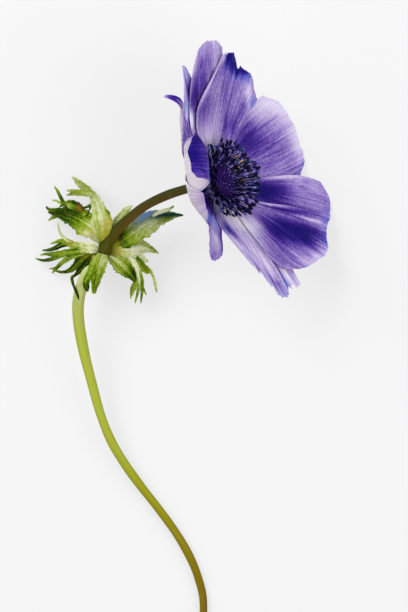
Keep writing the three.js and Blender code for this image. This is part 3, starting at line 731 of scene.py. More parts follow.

# %% [markdown]
# The violet lies in soft patches, and no two petals have the same. It could be
# painted by hand on an image, but dabs in numbers stay clear from close up.
# Each is (v, u, width across, width along, strength). A petal has a base
# strength of violet, then its dark heart, its blue rim and its white foot.
# `crisp` is how hard its streaks are, and `back` darkens its outer face, on the two near petals as painted
# shade.

# %% Pigment of the petals
PAINT = {
    "petal_top_outer": dict(
        base=0.43, crisp=0.8,
        deep=((0.35, 0.68, 0.25, 0.13, 0.30), (0.72, 0.65, 0.22, 0.15, 0.34), (0.2, 0.4, 0.5, 0.15, 0.12)),
        blue=(),
        pale=((0, 1.02, 1.4, 0.10, 0.16), (-0.6, 0.82, 0.35, 0.22, 0.18), (0.9, 0.9, 0.3, 0.15, 0.16),
              (1.0, 0.50, 0.2, 0.10, 0.6), (0.25, 0.6, 0.3, 0.2, 0.08))),
    "petal_top_inner": dict(
        base=0.42, foot=0.7,
        deep=((0.16, 0.97, 0.28, 0.09, 0.65), (-0.08, 0.9, 0.10, 0.06, 0.6), (-0.3, 0.96, 0.16, 0.04, 0.55),
              (-0.5, 0.99, 0.14, 0.03, 0.4), (0.7, 0.5, 0.25, 0.12, 0.16), (-0.85, 0.7, 0.12, 0.16, 0.12),
              (-0.7, 0.47, 0.25, 0.10, 0.22), (-0.3, 0.42, 0.14, 0.12, 0.2), (0.15, 0.7, 0.14, 0.1, 0.14),
              (0.95, 0.44, 0.15, 0.12, 0.15)),
        blue=((0.16, 0.94, 0.36, 0.1, 0.8), (-0.3, 0.93, 0.25, 0.07, 0.6), (-0.62, 0.96, 0.1, 0.05, 0.9),
              (-0.95, 0.9, 0.06, 0.05, 0.9), (-0.12, 0.82, 0.08, 0.03, 0.5), (-0.6, 0.42, 0.2, 0.1, 0.25)),
        pale=((0.96, 0.7, 0.07, 0.4, 0.26), (0.62, 0.97, 0.25, 0.07, 0.3), (0.45, 0.26, 0.6, 0.12, 0.26),
              (-0.8, 0.87, 0.16, 0.10, 0.34), (-0.2, 0.86, 0.12, 0.04, 0.12), (0.2, 0.45, 0.15, 0.12, 0.1))),
    "petal_right_upper": dict(
        # its white foot is dimmed as painted shade beneath the stamens
        base=0.43, foot=0.3, crisp=0.72,
        # the first deep dab, by the foot where the top inner petal overlaps it, is partly painted shadow
        deep=((0.52, 0.42, 0.36, 0.16, 0.33), (0.75, 0.55, 0.22, 0.08, 0.06), (0.2, 0.52, 0.4, 0.16, 0.15),
              (-0.1, 0.72, 0.3, 0.12, 0.10), (-0.5, 0.6, 0.25, 0.2, 0.06)),
        blue=((-0.74, 0.98, 0.05, 0.03, 0.9), (-0.9, 0.9, 0.08, 0.1, 0.3)),
        pale=((0.35, 1.0, 0.75, 0.16, 0.30), (0.85, 0.82, 0.3, 0.22, 0.28), (-0.4, 0.98, 0.4, 0.10, 0.2),
              (-0.5, 0.7, 0.2, 0.1, 0.1))),
    "petal_right_middle": dict(
        # its white foot is dimmed as painted shade beneath the stamens
        base=0.45, foot=0.15, crisp=0.6,
        deep=((0.45, 0.36, 0.45, 0.18, 0.62), (0.6, 0.55, 0.3, 0.1, 0.22), (0.12, 0.66, 0.1, 0.22, 0.34)),
        blue=((0.05, 0.99, 0.28, 0.05, 0.9), (0.3, 0.3, 0.5, 0.14, 0.3)),
        pale=((1.0, 0.56, 0.09, 0.25, 0.40), (0.55, 0.88, 0.6, 0.18, 0.08), (0.85, 0.85, 0.3, 0.2, 0.08))),
    "petal_right_lower": dict(
        base=0.40, foot=0.5, crisp=1.15,
        deep=((0.25, 0.66, 0.28, 0.20, 0.66), (0.5, 0.84, 0.16, 0.14, 0.40), (-0.24, 0.56, 0.26, 0.18, 0.56),
              (0.05, 0.80, 0.2, 0.12, 0.30), (0.80, 0.56, 0.10, 0.18, 0.30), (-0.86, 0.9, 0.1, 0.14, 0.12),
              (-0.62, 0.72, 0.08, 0.2, 0.14), (0.92, 0.74, 0.08, 0.14, 0.34)),
        blue=((0.42, 0.98, 0.16, 0.05, 0.9), (0.85, 0.97, 0.14, 0.04, 0.7), (0.1, 0.6, 0.35, 0.18, 0.35)),
        pale=((0.76, 0.82, 0.05, 0.12, 0.28), (1.0, 0.45, 0.06, 0.2, 0.32), (-0.10, 0.99, 0.40, 0.07, 0.22),
              (-0.6, 0.4, 0.3, 0.10, 0.26), (-0.45, 0.88, 0.2, 0.1, 0.08), (-0.97, 0.45, 0.12, 0.2, 0.2)),
        # this white dab is partly the white claw and partly painted light against the shade of the eye
        white=((-1.0, 0.36, 0.3, 0.12, 0.7),)),
    "petal_bottom_outer": dict(
        base=0.14, crisp=1.7,
        deep=((0.75, 0.74, 0.2, 0.12, 0.55), (0.5, 0.9, 0.1, 0.1, 0.15), (-0.6, 0.8, 0.2, 0.2, 0.10)),
        blue=((-0.1, 0.97, 0.2, 0.05, 0.6),),
        pale=((0.0, 0.5, 1.0, 0.25, 0.12), (0.2, 0.9, 0.3, 0.15, 0.1)),
        # this white dab is partly the white claw and partly painted light against the shade of the eye
        white=((0.0, 0.3, 0.8, 0.12, 0.8),)),
    "petal_bottom_inner": dict(
        base=0.24, crisp=1.7, foot=0.6,
        deep=((-1.0, 0.16, 0.3, 0.09, 0.7), (-0.68, 0.40, 0.2, 0.09, 0.62), (-0.5, 0.5, 0.1, 0.08, 0.3),
              (0.9, 0.8, 0.06, 0.2, 0.4), (-0.5, 0.92, 0.15, 0.08, 0.22), (0.2, 0.88, 0.3, 0.07, 0.22),
              (0.75, 0.2, 0.16, 0.05, 0.3)),
        blue=((-0.68, 0.40, 0.2, 0.08, 0.4), (0.9, 0.94, 0.12, 0.06, 0.9), (0.3, 0.97, 0.4, 0.04, 0.35)),
        pale=((0.3, 0.68, 0.3, 0.12, 0.12), (-0.8, 0.62, 0.2, 0.15, 0.1)),
        # these white dabs are partly the white claw and partly painted light against the shade of the eye
        white=((0.25, 0.27, 0.6, 0.10, 0.9), (0.75, 0.34, 0.25, 0.10, 0.7))),
    "petal_hanging": dict(
        base=0.32, foot=0.2,
        deep=((0.95, 0.62, 0.16, 0.3, 0.5), (0.4, 0.10, 1.2, 0.10, 0.5), (0.2, 0.97, 0.6, 0.08, 0.1)),
        blue=((0.2, 0.34, 0.8, 0.12, 0.8), (0.4, 0.14, 1.2, 0.1, 0.3)),
        pale=((0.3, 0.66, 0.35, 0.15, 0.14), (0.2, 0.34, 0.8, 0.08, 0.10))),
    "petal_near_lower": dict(
        # its `back` is painted shade on the outer face
        base=0.50, foot=0.15, back=0.2,
        deep=((0.5, 0.26, 1.0, 0.12, 0.40), (-0.5, 0.9, 0.6, 0.3, 0.2), (0.4, 0.12, 0.8, 0.1, 0.5)),
        blue=((0.8, 0.52, 0.5, 0.14, 0.9),),
        pale=((0.8, 0.58, 0.5, 0.14, 0.15), (-0.85, 0.85, 0.3, 0.25, 0.9)),
        white=((-0.85, 0.85, 0.3, 0.2, 0.8),)),
    "petal_near_upper": dict(
        # its `back` is painted shade on the outer face
        base=0.76, back=0.22,
        deep=((0.1, 0.97, 0.4, 0.05, 0.3), (-0.6, 0.96, 0.3, 0.06, 0.2)),
        blue=((0.2, 0.97, 0.4, 0.05, 0.35), (0.6, 0.85, 0.4, 0.03, 0.7)),
        pale=((0.95, 0.92, 0.2, 0.08, 0.15), (0.6, 0.85, 0.4, 0.025, 0.22))),
    "petal_curled": dict(
        base=0.50, back=0.24,
        deep=((-0.2, 0.93, 0.7, 0.05, 0.4),),
        blue=(),
        pale=((0.0, 1.0, 1.0, 0.02, 0.3),)),
    "petal_narrow": dict(
        base=0.36, back=0.2,
        deep=((-0.1, 0.76, 0.3, 0.12, 0.4), (0.36, 0.57, 0.1, 0.04, 0.4)),
        # the strong blue dab at v 0.4, u 0.71 is a small painted highlight
        blue=((0.3, 0.9, 0.6, 0.1, 0.3), (0.4, 0.71, 0.2, 0.05, 1.0), (0.3, 0.62, 0.2, 0.06, 0.6)),
        # the pale dab at v 0.4, u 0.70 belongs to the same painted highlight
        pale=((0.5, 0.98, 0.6, 0.14, 0.22), (0.4, 0.70, 0.2, 0.05, 0.6))),
}

print("dabs of deep violet:", sum(len(look["deep"]) for look in PAINT.values()))

# %% [markdown]
# The dabs are stored on the mesh as named attributes, one value a vertex, so
# that a finish can read them. The blank's own coordinates become a UV map,
# which the fibres follow however far the petal is bent.

# %% Laying the pigment on
# what one unit of a fibre map stands for, in millimetres
MAP_LONG = 40
MAP_WIDE = 12


def dabs(marks, u, v):
    """Sum of soft dabs at blank points."""
    total = np.zeros_like(u)
    for cv, cu, wv, wu, strength in marks:
        total += strength * np.exp(-(((v - cv) / wv) ** 2) - ((u - cu) / wu) ** 2)
    return total


def paint(obj, name, values):
    """Stores one value per vertex, or one for all, as a named attribute."""
    a = obj.data.attributes.new(name, "FLOAT", "POINT")
    a.data.foreach_set("value", np.full(len(a.data), values, dtype=np.float32))


def blank_map(obj, name, along, across):
    """Lays the blank's own coordinates (mm) down as a UV map for fibres."""
    mesh = obj.data
    corner = np.empty(len(mesh.loops), dtype=int)
    mesh.loops.foreach_get("vertex_index", corner)
    flat = np.stack([across[corner] / MAP_WIDE, along[corner] / MAP_LONG], axis=-1)
    mesh.uv_layers[0].name = name
    mesh.uv_layers[0].data.foreach_set("uv", flat.ravel().astype(np.float32))


print("one unit of a fibre map is", MAP_LONG, "mm along and", MAP_WIDE, "mm across")

# %% [markdown]
# Petals, stem and bracts all start as flat grids, whose vertices are moved in
# code to their places. Dragging them by hand would take days.

# %% Flat grids
def coords(mesh):
    """The vertices of a mesh as rows."""
    co = np.empty(len(mesh.vertices) * 3)
    mesh.vertices.foreach_get("co", co)
    return co.reshape(-1, 3)


def move_vertices(obj, rows):
    """Moves the vertices of a piece to new places, in metres."""
    obj.data.vertices.foreach_set("co", np.asarray(rows).ravel())
    obj.data.update()


def add_grid(name, across, along):
    """A flat grid; gives the object and its x and y, each from 0 to 1."""
    bpy.ops.object.select_all(action="DESELECT")
    bpy.ops.mesh.primitive_grid_add(x_subdivisions=across, y_subdivisions=along, size=2, location=(0, 0, 0))
    obj = bpy.context.object
    obj.name = name
    co = coords(obj.data)
    return obj, (co[:, 0] + 1) / 2, (co[:, 1] + 1) / 2


def across_sheet(x):
    """x from 0 to 1 as v from -1 to 1, with rows closer together at the edges."""
    return np.sin((x * 2 - 1) * math.pi / 2)


print("rows across a sheet lie at", [round(float(v), 2) for v in across_sheet(np.linspace(0, 1, 5))])

# %% [markdown]
# A bent sheet gets its thickness from a Solidify modifier, half to each side,
# which is then applied. A petal that is modelled thick from the start would be
# much harder to bend without folding over.

# %% Walls and finishes
SMOOTH_BELOW = math.radians(60)


def edit_whole():
    """Goes into edit mode with the whole mesh selected."""
    bpy.ops.object.mode_set(mode="EDIT")
    bpy.ops.mesh.select_all(action="SELECT")


def leave_edit():
    """Goes back to object mode."""
    bpy.ops.object.mode_set(mode="OBJECT")


def give_wall(obj, thickness, back_finish=0, thin_where=""):
    """Turns a bent sheet right side out and gives it its thickness (m)."""
    edit_whole()
    bpy.ops.mesh.flip_normals()
    leave_edit()
    wall = obj.modifiers.new("thickness", "SOLIDIFY")
    wall.thickness = thickness
    wall.offset = 0
    wall.material_offset = back_finish
    wall.vertex_group = thin_where
    bpy.ops.object.modifier_apply(modifier=wall.name)
    bpy.ops.object.shade_smooth_by_angle(angle=SMOOTH_BELOW)


def cover(obj, *finishes):
    """Puts finishes on a piece, in place of any that it had."""
    obj.data.materials.clear()
    for finish in finishes:
        obj.data.materials.append(finish)


def finish_piece(obj, *nodes, slot):
    """Hides the CAD parts that the piece stands for and hangs it on the root; slot is not used."""
    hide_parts(*nodes)
    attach(obj, "root")


print("sheets are smooth below", round(math.degrees(SMOOTH_BELOW)), "degrees")

# %% [markdown]
# The twelve petals are all made by one function, each from its own blank, form
# and pigment, so that they differ as real ones do. Their wall is thinner
# towards the rim, and the paler finish is on the outer side.

# %% Making the petals
FACES_ACROSS = 84
FACES_ALONG = 90
PETAL_WALL = 0.00036
# share of the wall that is left at the very rim
RIM_WALL = 0.35
FOOT_FROM = 0.10
FOOT_LONG = 0.18
FOOT_WHITE = 0.8
# how far apart two petals' waves and two petals' fibres start
WAVE_STEP = 1.7
FIBRE_STEP = 3.7


def paint_petal(obj, look, u, v, number):
    """Paints the attributes that the two petal finishes read."""
    deep = look["base"] + dabs(look["deep"], u, v) - dabs(look["pale"], u, v)
    foot = held(1 - (u - FOOT_FROM) / FOOT_LONG) ** 1.5
    paint(obj, "deep", held(deep * (1 - 0.6 * foot)))
    paint(obj, "blue", held(dabs(look["blue"], u, v)))
    # a low `foot` dims the white foot, on the right petals as painted shade under the stamens
    white = foot * FOOT_WHITE * look.get("foot", 1.0) + dabs(look.get("white", ()), u, v)
    # the white dabs of the lower petals are partly painted light
    paint(obj, "white", held(white))
    # the outer face is darker near the rim and along its side edges
    # on the near petals `back` adds painted shade to the outer face
    back = look.get("back", 0.0) * u**3 + 0.08 + 0.30 * u**3 * (0.4 + deep) + 0.25 * np.abs(v) ** 6 * u
    paint(obj, "deep_back", held(back))
    paint(obj, "seed", number * FIBRE_STEP)
    paint(obj, "crisp", look.get("crisp", 1.0))


def make_petal(name, p, number):
    """One petal: a grid bent onto the cup, painted and given its wall."""
    obj, x, u = add_grid(name.replace("petal", "violet_petal"), FACES_ACROSS, FACES_ALONG)
    v = across_sheet(x)
    move_vertices(obj, place_on_bloom(petal_points(p, FORM[name], u, v, number * WAVE_STEP)))
    blank_map(obj, "Petal", u * max(p["tip"]), v * max(*p["plus"], *p["minus"]))
    paint_petal(obj, PAINT[name], u, v, number)
    # 1 all over the petal, falling to 0 at its tip and its side edges
    inside = held((1 - u) * 9) * held((1 - np.abs(v)) * 14)
    wall_group = obj.vertex_groups.new(name="wall")
    for i, weight in enumerate(RIM_WALL + (1 - RIM_WALL) * inside):
        wall_group.add([i], float(weight), "REPLACE")
    cover(obj, PETAL_FACE, PETAL_BACK)
    give_wall(obj, PETAL_WALL, back_finish=1, thin_where=wall_group.name)
    finish_piece(obj, name, slot="petal")
    return obj


petals = [make_petal(name, p, i) for i, (name, p) in enumerate(PETALS.items())]
print("petals:", len(petals), "faces each:", len(petals[0].data.polygons))

# %% [markdown]
# The eye of the bloom is a low dome of crowded pistils inside a wide ring of
# about three hundred stamens. One pistil and one stamen are modelled by hand
# with few faces, from a ball and a disc, by the few steps in these helpers.

# %% Shaping in edit mode
def add_ball(segments, rings):
    """A sphere of radius 1, left in edit mode with all of it selected."""
    bpy.ops.object.select_all(action="DESELECT")
    bpy.ops.mesh.primitive_uv_sphere_add(segments=segments, ring_count=rings, radius=1, location=(0, 0, 0))
    obj = bpy.context.object
    edit_whole()
    return obj


def add_disc(corners, radius):
    """A filled circle, left in edit mode with all of it selected."""
    bpy.ops.object.select_all(action="DESELECT")
    bpy.ops.mesh.primitive_circle_add(vertices=corners, radius=radius, fill_type="NGON", location=(0, 0, 0))
    obj = bpy.context.object
    edit_whole()
    return obj


def stretch(x, y, z, height=0):
    """Scales what is selected about a point of the Z axis."""
    bpy.ops.transform.resize(value=(x, y, z), center_override=(0, 0, height))


def raise_copy(height):
    """Extrudes what is selected straight up."""
    bpy.ops.mesh.extrude_region_move(TRANSFORM_OT_translate={"value": (0, 0, height)})


def face_outwards():
    """Turns all faces of a closed mesh outwards."""
    bpy.ops.mesh.select_all(action="SELECT")
    bpy.ops.mesh.normals_make_consistent(inside=False)


def pick(obj, test):
    """Selects the vertices that pass the test, in edit mode."""
    leave_edit()
    for e in obj.data.edges:
        e.select = False
    for f in obj.data.polygons:
        f.select = False
    for vert in obj.data.vertices:
        vert.select = bool(test(vert.co))
    bpy.ops.object.mode_set(mode="EDIT")
    bpy.ops.mesh.select_mode(type="VERT")


print("helpers ready for balls and discs")

# %% [markdown]
# The two models are then copied into place. Scattering them as instances would
# be quicker, but a copy with its own mesh can be bent its own way.

# %% Copying and joining
def copy_to(master, points, name):
    """A copy of a master with its own mesh and its vertices at new points."""
    obj = master.copy()
    obj.data = master.data.copy()
    obj.name = name
    move_vertices(obj, points)
    bpy.context.collection.objects.link(obj)
    return obj


def join_all(objects, name):
    """Joins objects into the first one."""
    bpy.ops.object.select_all(action="DESELECT")
    for obj in objects:
        obj.select_set(True)
    bpy.context.view_layer.objects.active = objects[0]
    bpy.ops.object.join()
    objects[0].name = name
    return objects[0]


def discard(obj):
    """Removes a master that isn't needed any more."""
    bpy.data.objects.remove(obj, do_unlink=True)


def unit(v):
    """A direction, or rows of directions, with length 1."""
    return v / np.linalg.norm(v, axis=-1, keepdims=True)


print("helpers ready for copies:", copy_to.__name__, join_all.__name__)

# %% [markdown]
# A pistil is a small upright bead with a short pointed style. It could be
# turned like a skittle, but a sphere is quicker: it is stretched, and its upper
# vertices are drawn together into the style.

# %% One pistil
def model_pistil():
    """Modelled about 1 high; style above 0.6."""
    obj = add_ball(7, 6)
    obj.name = "pistil_master"
    stretch(0.5, 0.5, 0.55)
    pick(obj, lambda co: co.z > 0.2)
    stretch(0.55, 0.55, 1.5)
    pick(obj, lambda co: co.z > 0.6)
    stretch(0.6, 0.6, 1.0)
    leave_edit()
    bpy.ops.object.shade_smooth()
    return obj


pistil_master = model_pistil()
print("pistil faces:", len(pistil_master.data.polygons))

# %% [markdown]
# The pistils stand on the dome in the spiral of a sunflower head: each is
# turned on by the golden angle, which packs them evenly where rows or rings
# would show. The dome itself is a sphere cut flat below by a bisect.

# %% The dome of pistils
DOME_RADIUS = 5.3
DOME_RISE = 3.0
DOME_BASE = 2.0
# the eye sits a little towards the raised side and away from the top petals
EYE_AT = np.array([-0.9, -0.4, 0.0])
PISTILS = 150
# size of a pistil next to its master, in millimetres
PISTIL_WIDTH = 0.80
PISTIL_HEIGHT = 0.95
GOLDEN = math.pi * (3 - math.sqrt(5))
# the last pistil stands just inside the dome's rim
LAST_SHARE = 0.98
LEAN_MOST = 0.15
STYLE_FROM = 0.42


def dome_at(share, turn):
    """Point and normal on the dome: share of the way from its top to its rim."""
    tip = share * math.pi / 2
    out = np.array([math.cos(turn), math.sin(turn), 0.0])
    up = np.array([0.0, 0.0, 1.0])
    at = out * DOME_RADIUS * math.sin(tip) + up * (DOME_BASE + DOME_RISE * math.cos(tip))
    return at, unit(out * math.sin(tip) / DOME_RADIUS + up * math.cos(tip) / DOME_RISE)


def make_core():
    """The smooth dome that the pistils stand on."""
    core = add_ball(36, 20)
    bpy.ops.mesh.bisect(plane_co=(0, 0, 0), plane_no=(0, 0, 1), use_fill=True, clear_inner=True)
    leave_edit()
    bpy.ops.object.shade_smooth()
    shape = np.array([DOME_RADIUS, DOME_RADIUS, DOME_RISE])
    move_vertices(core, place_on_bloom(coords(core.data) * shape + [0, 0, DOME_BASE] + EYE_AT))
    paint(core, "style", 0.0)
    paint(core, "shade", 0.2)
    return core


def make_dome():
    """The core and all its pistils, joined."""
    rng = random.Random(5)
    group = [make_core()]
    base = coords(pistil_master.data)
    for k in range(PISTILS):
        share = math.sqrt((k + 0.5) / PISTILS) * LAST_SHARE
        at, normal = dome_at(share, k * GOLDEN)
        side = unit(np.cross(normal, [0.3, 0.9, 0.1]))
        other = np.cross(normal, side)
        size = rng.uniform(0.85, 1.15) * (1.0 - 0.1 * share)
        lean = np.array([rng.uniform(-LEAN_MOST, LEAN_MOST), rng.uniform(-LEAN_MOST, LEAN_MOST)])
        bent = base[:, :2] + lean * held(base[:, 2:3])
        local = (bent[:, :1] * side + bent[:, 1:] * other) * PISTIL_WIDTH * size
        local = local + base[:, 2:3] * normal * PISTIL_HEIGHT * size
        obj = copy_to(pistil_master, place_on_bloom(at + local + EYE_AT), "pistil")
        # the style tips are painted pale blue, partly as painted highlights
        paint(obj, "style", held((base[:, 2] - STYLE_FROM) * 4) * rng.choice((0.0, 0.1, 0.3, 1.0)))
        paint(obj, "shade", rng.random())
        group.append(obj)
    return join_all(group, "dome_of_pistils")


dome = make_dome()
discard(pistil_master)
print("pistils:", PISTILS, "dome faces:", len(dome.data.polygons))

# %% [markdown]
# Pistils are fleshy, nearly black in the middle of the eye, with pale blue style tips that are partly
# painted highlights. A random shade for each, kept as an attribute, tells the beads apart.

# %% The pistils' finish
def finish_fleshy(tree, colour, height, **skin_values):
    """A lit skin that no light comes through."""
    close_tree(tree, lit_skin(tree, colour, height, **skin_values))


def pistil_material():
    """Dark maroon violet, styles tipped with pale blue that is partly a painted highlight."""
    m = new_material("pistil")
    t = m.node_tree
    grain = fixed_noise(t, 900.0, 2.0)
    tone = shares(t, attribute(t, "shade"), 0.6, grain, 0.4)
    body = ramp(t, tone, [(0.1, srgb(14, 0, 56)), (0.5, srgb(36, 6, 84)), (0.9, srgb(62, 20, 108))])
    # the pale blue of the tips is partly a painted highlight
    colour = blend_colour(t, attribute(t, "style"), body, srgb(140, 140, 196))
    finish_fleshy(t, colour, grain, strength=0.4, distance=0.0001, rough=0.5, gloss=0.08)
    return m


cover(dome, pistil_material())
finish_piece(dome, "pistil_dome", slot="pistil")
print("dome finish:", dome.data.materials[0].name)

# %% [markdown]
# A stamen is a thin filament with a two-lobed anther at its end. A curve with a
# bevel would do for the filament, but a five-sided circle extruded upwards in
# steps has fewer faces and bends as well. The anther is a small sphere, drawn
# long and pinched along its middle.

# %% One stamen
FILAMENT_CORNERS = 5
FILAMENT_STEPS = 5
ANTHER_AT = 3


def model_stamen():
    """Filament from z 0 to 1 with radius 1; anther centred on z 3, 2 long."""
    filament = add_disc(FILAMENT_CORNERS, 1)
    for _ in range(FILAMENT_STEPS):
        raise_copy(1 / FILAMENT_STEPS)
    face_outwards()
    leave_edit()
    anther = add_ball(8, 6)
    stretch(0.95, 0.75, 1.0)
    pick(anther, lambda co: abs(co.x) < 0.05 and abs(co.z) < 0.95)
    stretch(1, 0.5, 1)
    bpy.ops.mesh.select_all(action="SELECT")
    bpy.ops.transform.translate(value=(0, 0, ANTHER_AT))
    leave_edit()
    obj = join_all([filament, anther], "stamen_master")
    bpy.ops.object.shade_smooth()
    return obj


stamen_master = model_stamen()
STAMEN = coords(stamen_master.data)
IS_ANTHER = STAMEN[:, 2] > ANTHER_AT / 2
print("stamen faces:", len(stamen_master.data.polygons))

# %% [markdown]
# The stamens stand in three whorls. They are longest on the low side of the
# bloom and shortest on the raised side, so their ring leans towards the light.
# Each is bent on its own curve, and its anther is tipped a little at random:
# turned copies of a single shape would show as a pattern at once.

# %% Shape of one stamen
FILAMENT_RADIUS = 0.14
# radius and height of the ring that the filaments grow from
FILAMENT_FOOT = (5.5, 2.3)
ANTHER_SIZE = (0.52, 0.46, 0.92)
# the anther hangs on the filament near its lower end
ANTHER_HOLD = 0.7


def on_ring(turn, radius, height):
    """A point of a ring round the bloom's axis."""
    return np.array([math.cos(turn) * radius, math.sin(turn) * radius, height])


def stamen_points(rng, foot, end, turn):
    """The stamen's vertices for a filament from foot to end (mm)."""
    bend = foot + (end - foot) * 0.5 + np.array([0, 0, rng.uniform(0.2, 0.9)])
    t = STAMEN[:, 2:3]
    line = foot * (1 - t) ** 2 + 2 * bend * t * (1 - t) + end * t**2
    out = on_ring(turn, 1, 0)
    side = np.array([-math.sin(turn), math.cos(turn), 0.0])
    along = unit(end - bend)
    thin = FILAMENT_RADIUS * (1.15 - 0.35 * t)
    filament = line + (STAMEN[:, :1] * side + STAMEN[:, 1:2] * np.cross(along, side)) * thin
    # the anther keeps its shape and is tipped about the filament's end
    tip = unit(along + side * rng.uniform(-0.35, 0.35) + np.array([0, 0, rng.uniform(-0.1, 0.7)]))
    flat = unit(np.cross(tip, side + out * rng.uniform(-0.6, 0.6)))
    wide = np.cross(flat, tip)
    size = np.array(ANTHER_SIZE) * rng.uniform(0.85, 1.15)
    bead = STAMEN - [0, 0, ANTHER_AT]
    anther = end + bead[:, :1] * wide * size[0] + bead[:, 1:2] * flat * size[1]
    anther = anther + (bead[:, 2:3] + ANTHER_HOLD) * tip * size[2]
    return np.where(IS_ANTHER[:, None], anther, filament)


print("anther length:", 2 * ANTHER_SIZE[2], "mm")

# %% [markdown]
# A whorl is a loop round the bloom with a little chance in it. Spacing them
# quite evenly would look like the teeth of a gear. The attributes painted here
# tell anther from filament, dust a few anthers with pollen, and turn a small
# group on the low side greenish.

# %% Placing the stamens
# how far out and how high the anthers stand (mm), and how much the ring leans
WHORLS = {
    "stamens_outer": dict(count=96, reach=(9.6, 11.2), height=(4.8, 6.6), lean=2.6, seed=11),
    "stamens_middle": dict(count=104, reach=(7.8, 9.8), height=(4.4, 6.2), lean=1.3, seed=23),
    "stamens_inner": dict(count=104, reach=(6.0, 8.2), height=(3.3, 5.4), lean=0.5, seed=37),
}
# the greenish group: its direction and half width, and how far out it goes
GREEN_AT = 0.12
GREEN_WIDTH = 0.24
GREEN_REACH = 10.4
POLLEN_REACH = 9
POLLEN_CHANCE = 0.08


def make_whorl(name, count, reach, height, lean, seed):
    """One whorl of stamens, joined."""
    rng = random.Random(seed)
    group = []
    for k in range(count):
        turn = (k + rng.uniform(-0.35, 0.35)) / count * 2 * math.pi + seed
        far = rng.uniform(*reach)
        high = rng.uniform(*height) + lean * math.cos(turn)
        foot = on_ring(turn + rng.uniform(-0.08, 0.08), *FILAMENT_FOOT)
        points = stamen_points(rng, foot, on_ring(turn, far, high), turn)
        obj = copy_to(stamen_master, place_on_bloom(points + EYE_AT), "stamen")
        paint(obj, "anther", IS_ANTHER)
        paint(obj, "along", held(STAMEN[:, 2]))
        paint(obj, "shade", rng.random())
        green = math.exp(-((math.sin((turn - GREEN_AT) / 2) / GREEN_WIDTH) ** 2)) * (far < GREEN_REACH)
        paint(obj, "green", green * rng.uniform(0.3, 1.0))
        dusty = rng.random() < POLLEN_CHANCE and far < POLLEN_REACH and math.cos(turn) > 0
        paint(obj, "pollen", IS_ANTHER & (STAMEN[:, 0] > 0.2) & dusty)
        group.append(obj)
    return join_all(group, name.replace("stamens", "whorl_of_stamens"))


whorls = {name: make_whorl(name, **values) for name, values in WHORLS.items()}
discard(stamen_master)
print("stamens:", sum(values["count"] for values in WHORLS.values()))

# %% [markdown]
# Filaments run from nearly black to a clear lilac that catches the light, and anthers are blue-black with
# pale bluish spots that are painted highlights. One finish holds both: attributes say which part a vertex
# belongs to, which saves a second piece for each whorl.

# %% The stamens' finish
LIGHT_FILAMENTS_ABOVE = 0.6


def stamen_material():
    """Violet filament, blue-black anther with painted highlights and a few grains of pollen."""
    m = new_material("stamen")
    t = m.node_tree
    grain = fixed_noise(t, 1400.0, 2.0)
    along = attribute(t, "along")
    shade = attribute(t, "shade")
    green = attribute(t, "green")
    dark = ramp(t, along, [(0.0, srgb(14, 0, 50)), (0.5, srgb(38, 16, 92)), (1.0, srgb(22, 8, 70))])
    light = ramp(t, along, [(0.3, srgb(34, 10, 88)), (0.6, srgb(112, 92, 180)), (1.0, srgb(164, 150, 214))])
    filament = blend_colour(t, maths(t, "GREATER_THAN", shade, LIGHT_FILAMENTS_ABOVE), dark, light)
    filament = blend_colour(t, green, filament, srgb(12, 24, 44))
    mixed = shares(t, grain, 0.6, shade, 0.4)
    # the palest stops of this ramp and the next are painted highlights, scattered by the noise and each
    # stamen's random tone
    black = ramp(t, mixed, [
        (0.40, srgb(0, 0, 26)),
        (0.57, srgb(10, 4, 54)),
        (0.67, srgb(52, 56, 126)),
        (0.77, srgb(140, 148, 212)),
    ])
    leafy = ramp(t, mixed, [
        (0.40, srgb(0, 6, 22)),
        (0.57, srgb(16, 34, 42)),
        (0.67, srgb(62, 86, 88)),
        (0.77, srgb(142, 164, 138)),
    ])
    gold = ramp(t, grain, [
        (0.45, srgb(30, 24, 40)),
        (0.55, srgb(196, 150, 74)),
        (0.70, srgb(232, 202, 110)),
    ])
    head = blend_colour(t, green, black, leafy)
    head = blend_colour(t, attribute(t, "pollen"), head, gold)
    colour = blend_colour(t, attribute(t, "anther"), filament, head)
    finish_fleshy(t, colour, grain, strength=0.5, distance=0.00012, rough=0.5, gloss=0.08)
    return m


STAMEN_FINISH = stamen_material()
for name, whorl in whorls.items():
    cover(whorl, STAMEN_FINISH)
    finish_piece(whorl, name, slot="stamen")
    print(name, "faces:", len(whorl.data.polygons))

# %% [markdown]
# Below the petals sits the receptacle, the fleshy end of the stalk. It is
# turned like a pot: a circle is extruded upwards step by step and each new ring
# is scaled to its radius, which suits a round thing with a changing outline.

# %% The receptacle
# radius and height of each ring, in millimetres
RECEPTACLE_PROFILE = [
    (1.7, -3.1), (2.5, -2.7), (3.1, -2.0), (3.5, -1.2), (3.55, 0.2), (3.5, 1.2),
    (4.6, 1.7), (5.6, 2.0), (5.8, 2.2), (5.7, 2.45), (5.2, 2.6), (4.4, 2.65),
]
RECEPTACLE_CORNERS = 36
BLUNT_BELOW = math.radians(50)


def make_receptacle():
    """The receptacle, with its upper side painted on an attribute."""
    radius, height = RECEPTACLE_PROFILE[0]
    obj = add_disc(RECEPTACLE_CORNERS, radius)
    bpy.ops.transform.translate(value=(0, 0, height))
    for wider, higher in RECEPTACLE_PROFILE[1:]:
        raise_copy(higher - height)
        stretch(wider / radius, wider / radius, 1, higher)
        radius, height = wider, higher
    face_outwards()
    leave_edit()
    bpy.ops.object.shade_smooth_by_angle(angle=BLUNT_BELOW)
    co = coords(obj.data)
    paint(obj, "top", held((co[:, 2] - 1.0) / 0.6))
    move_vertices(obj, place_on_bloom(co))
    obj.name = "fleshy_receptacle"
    return obj


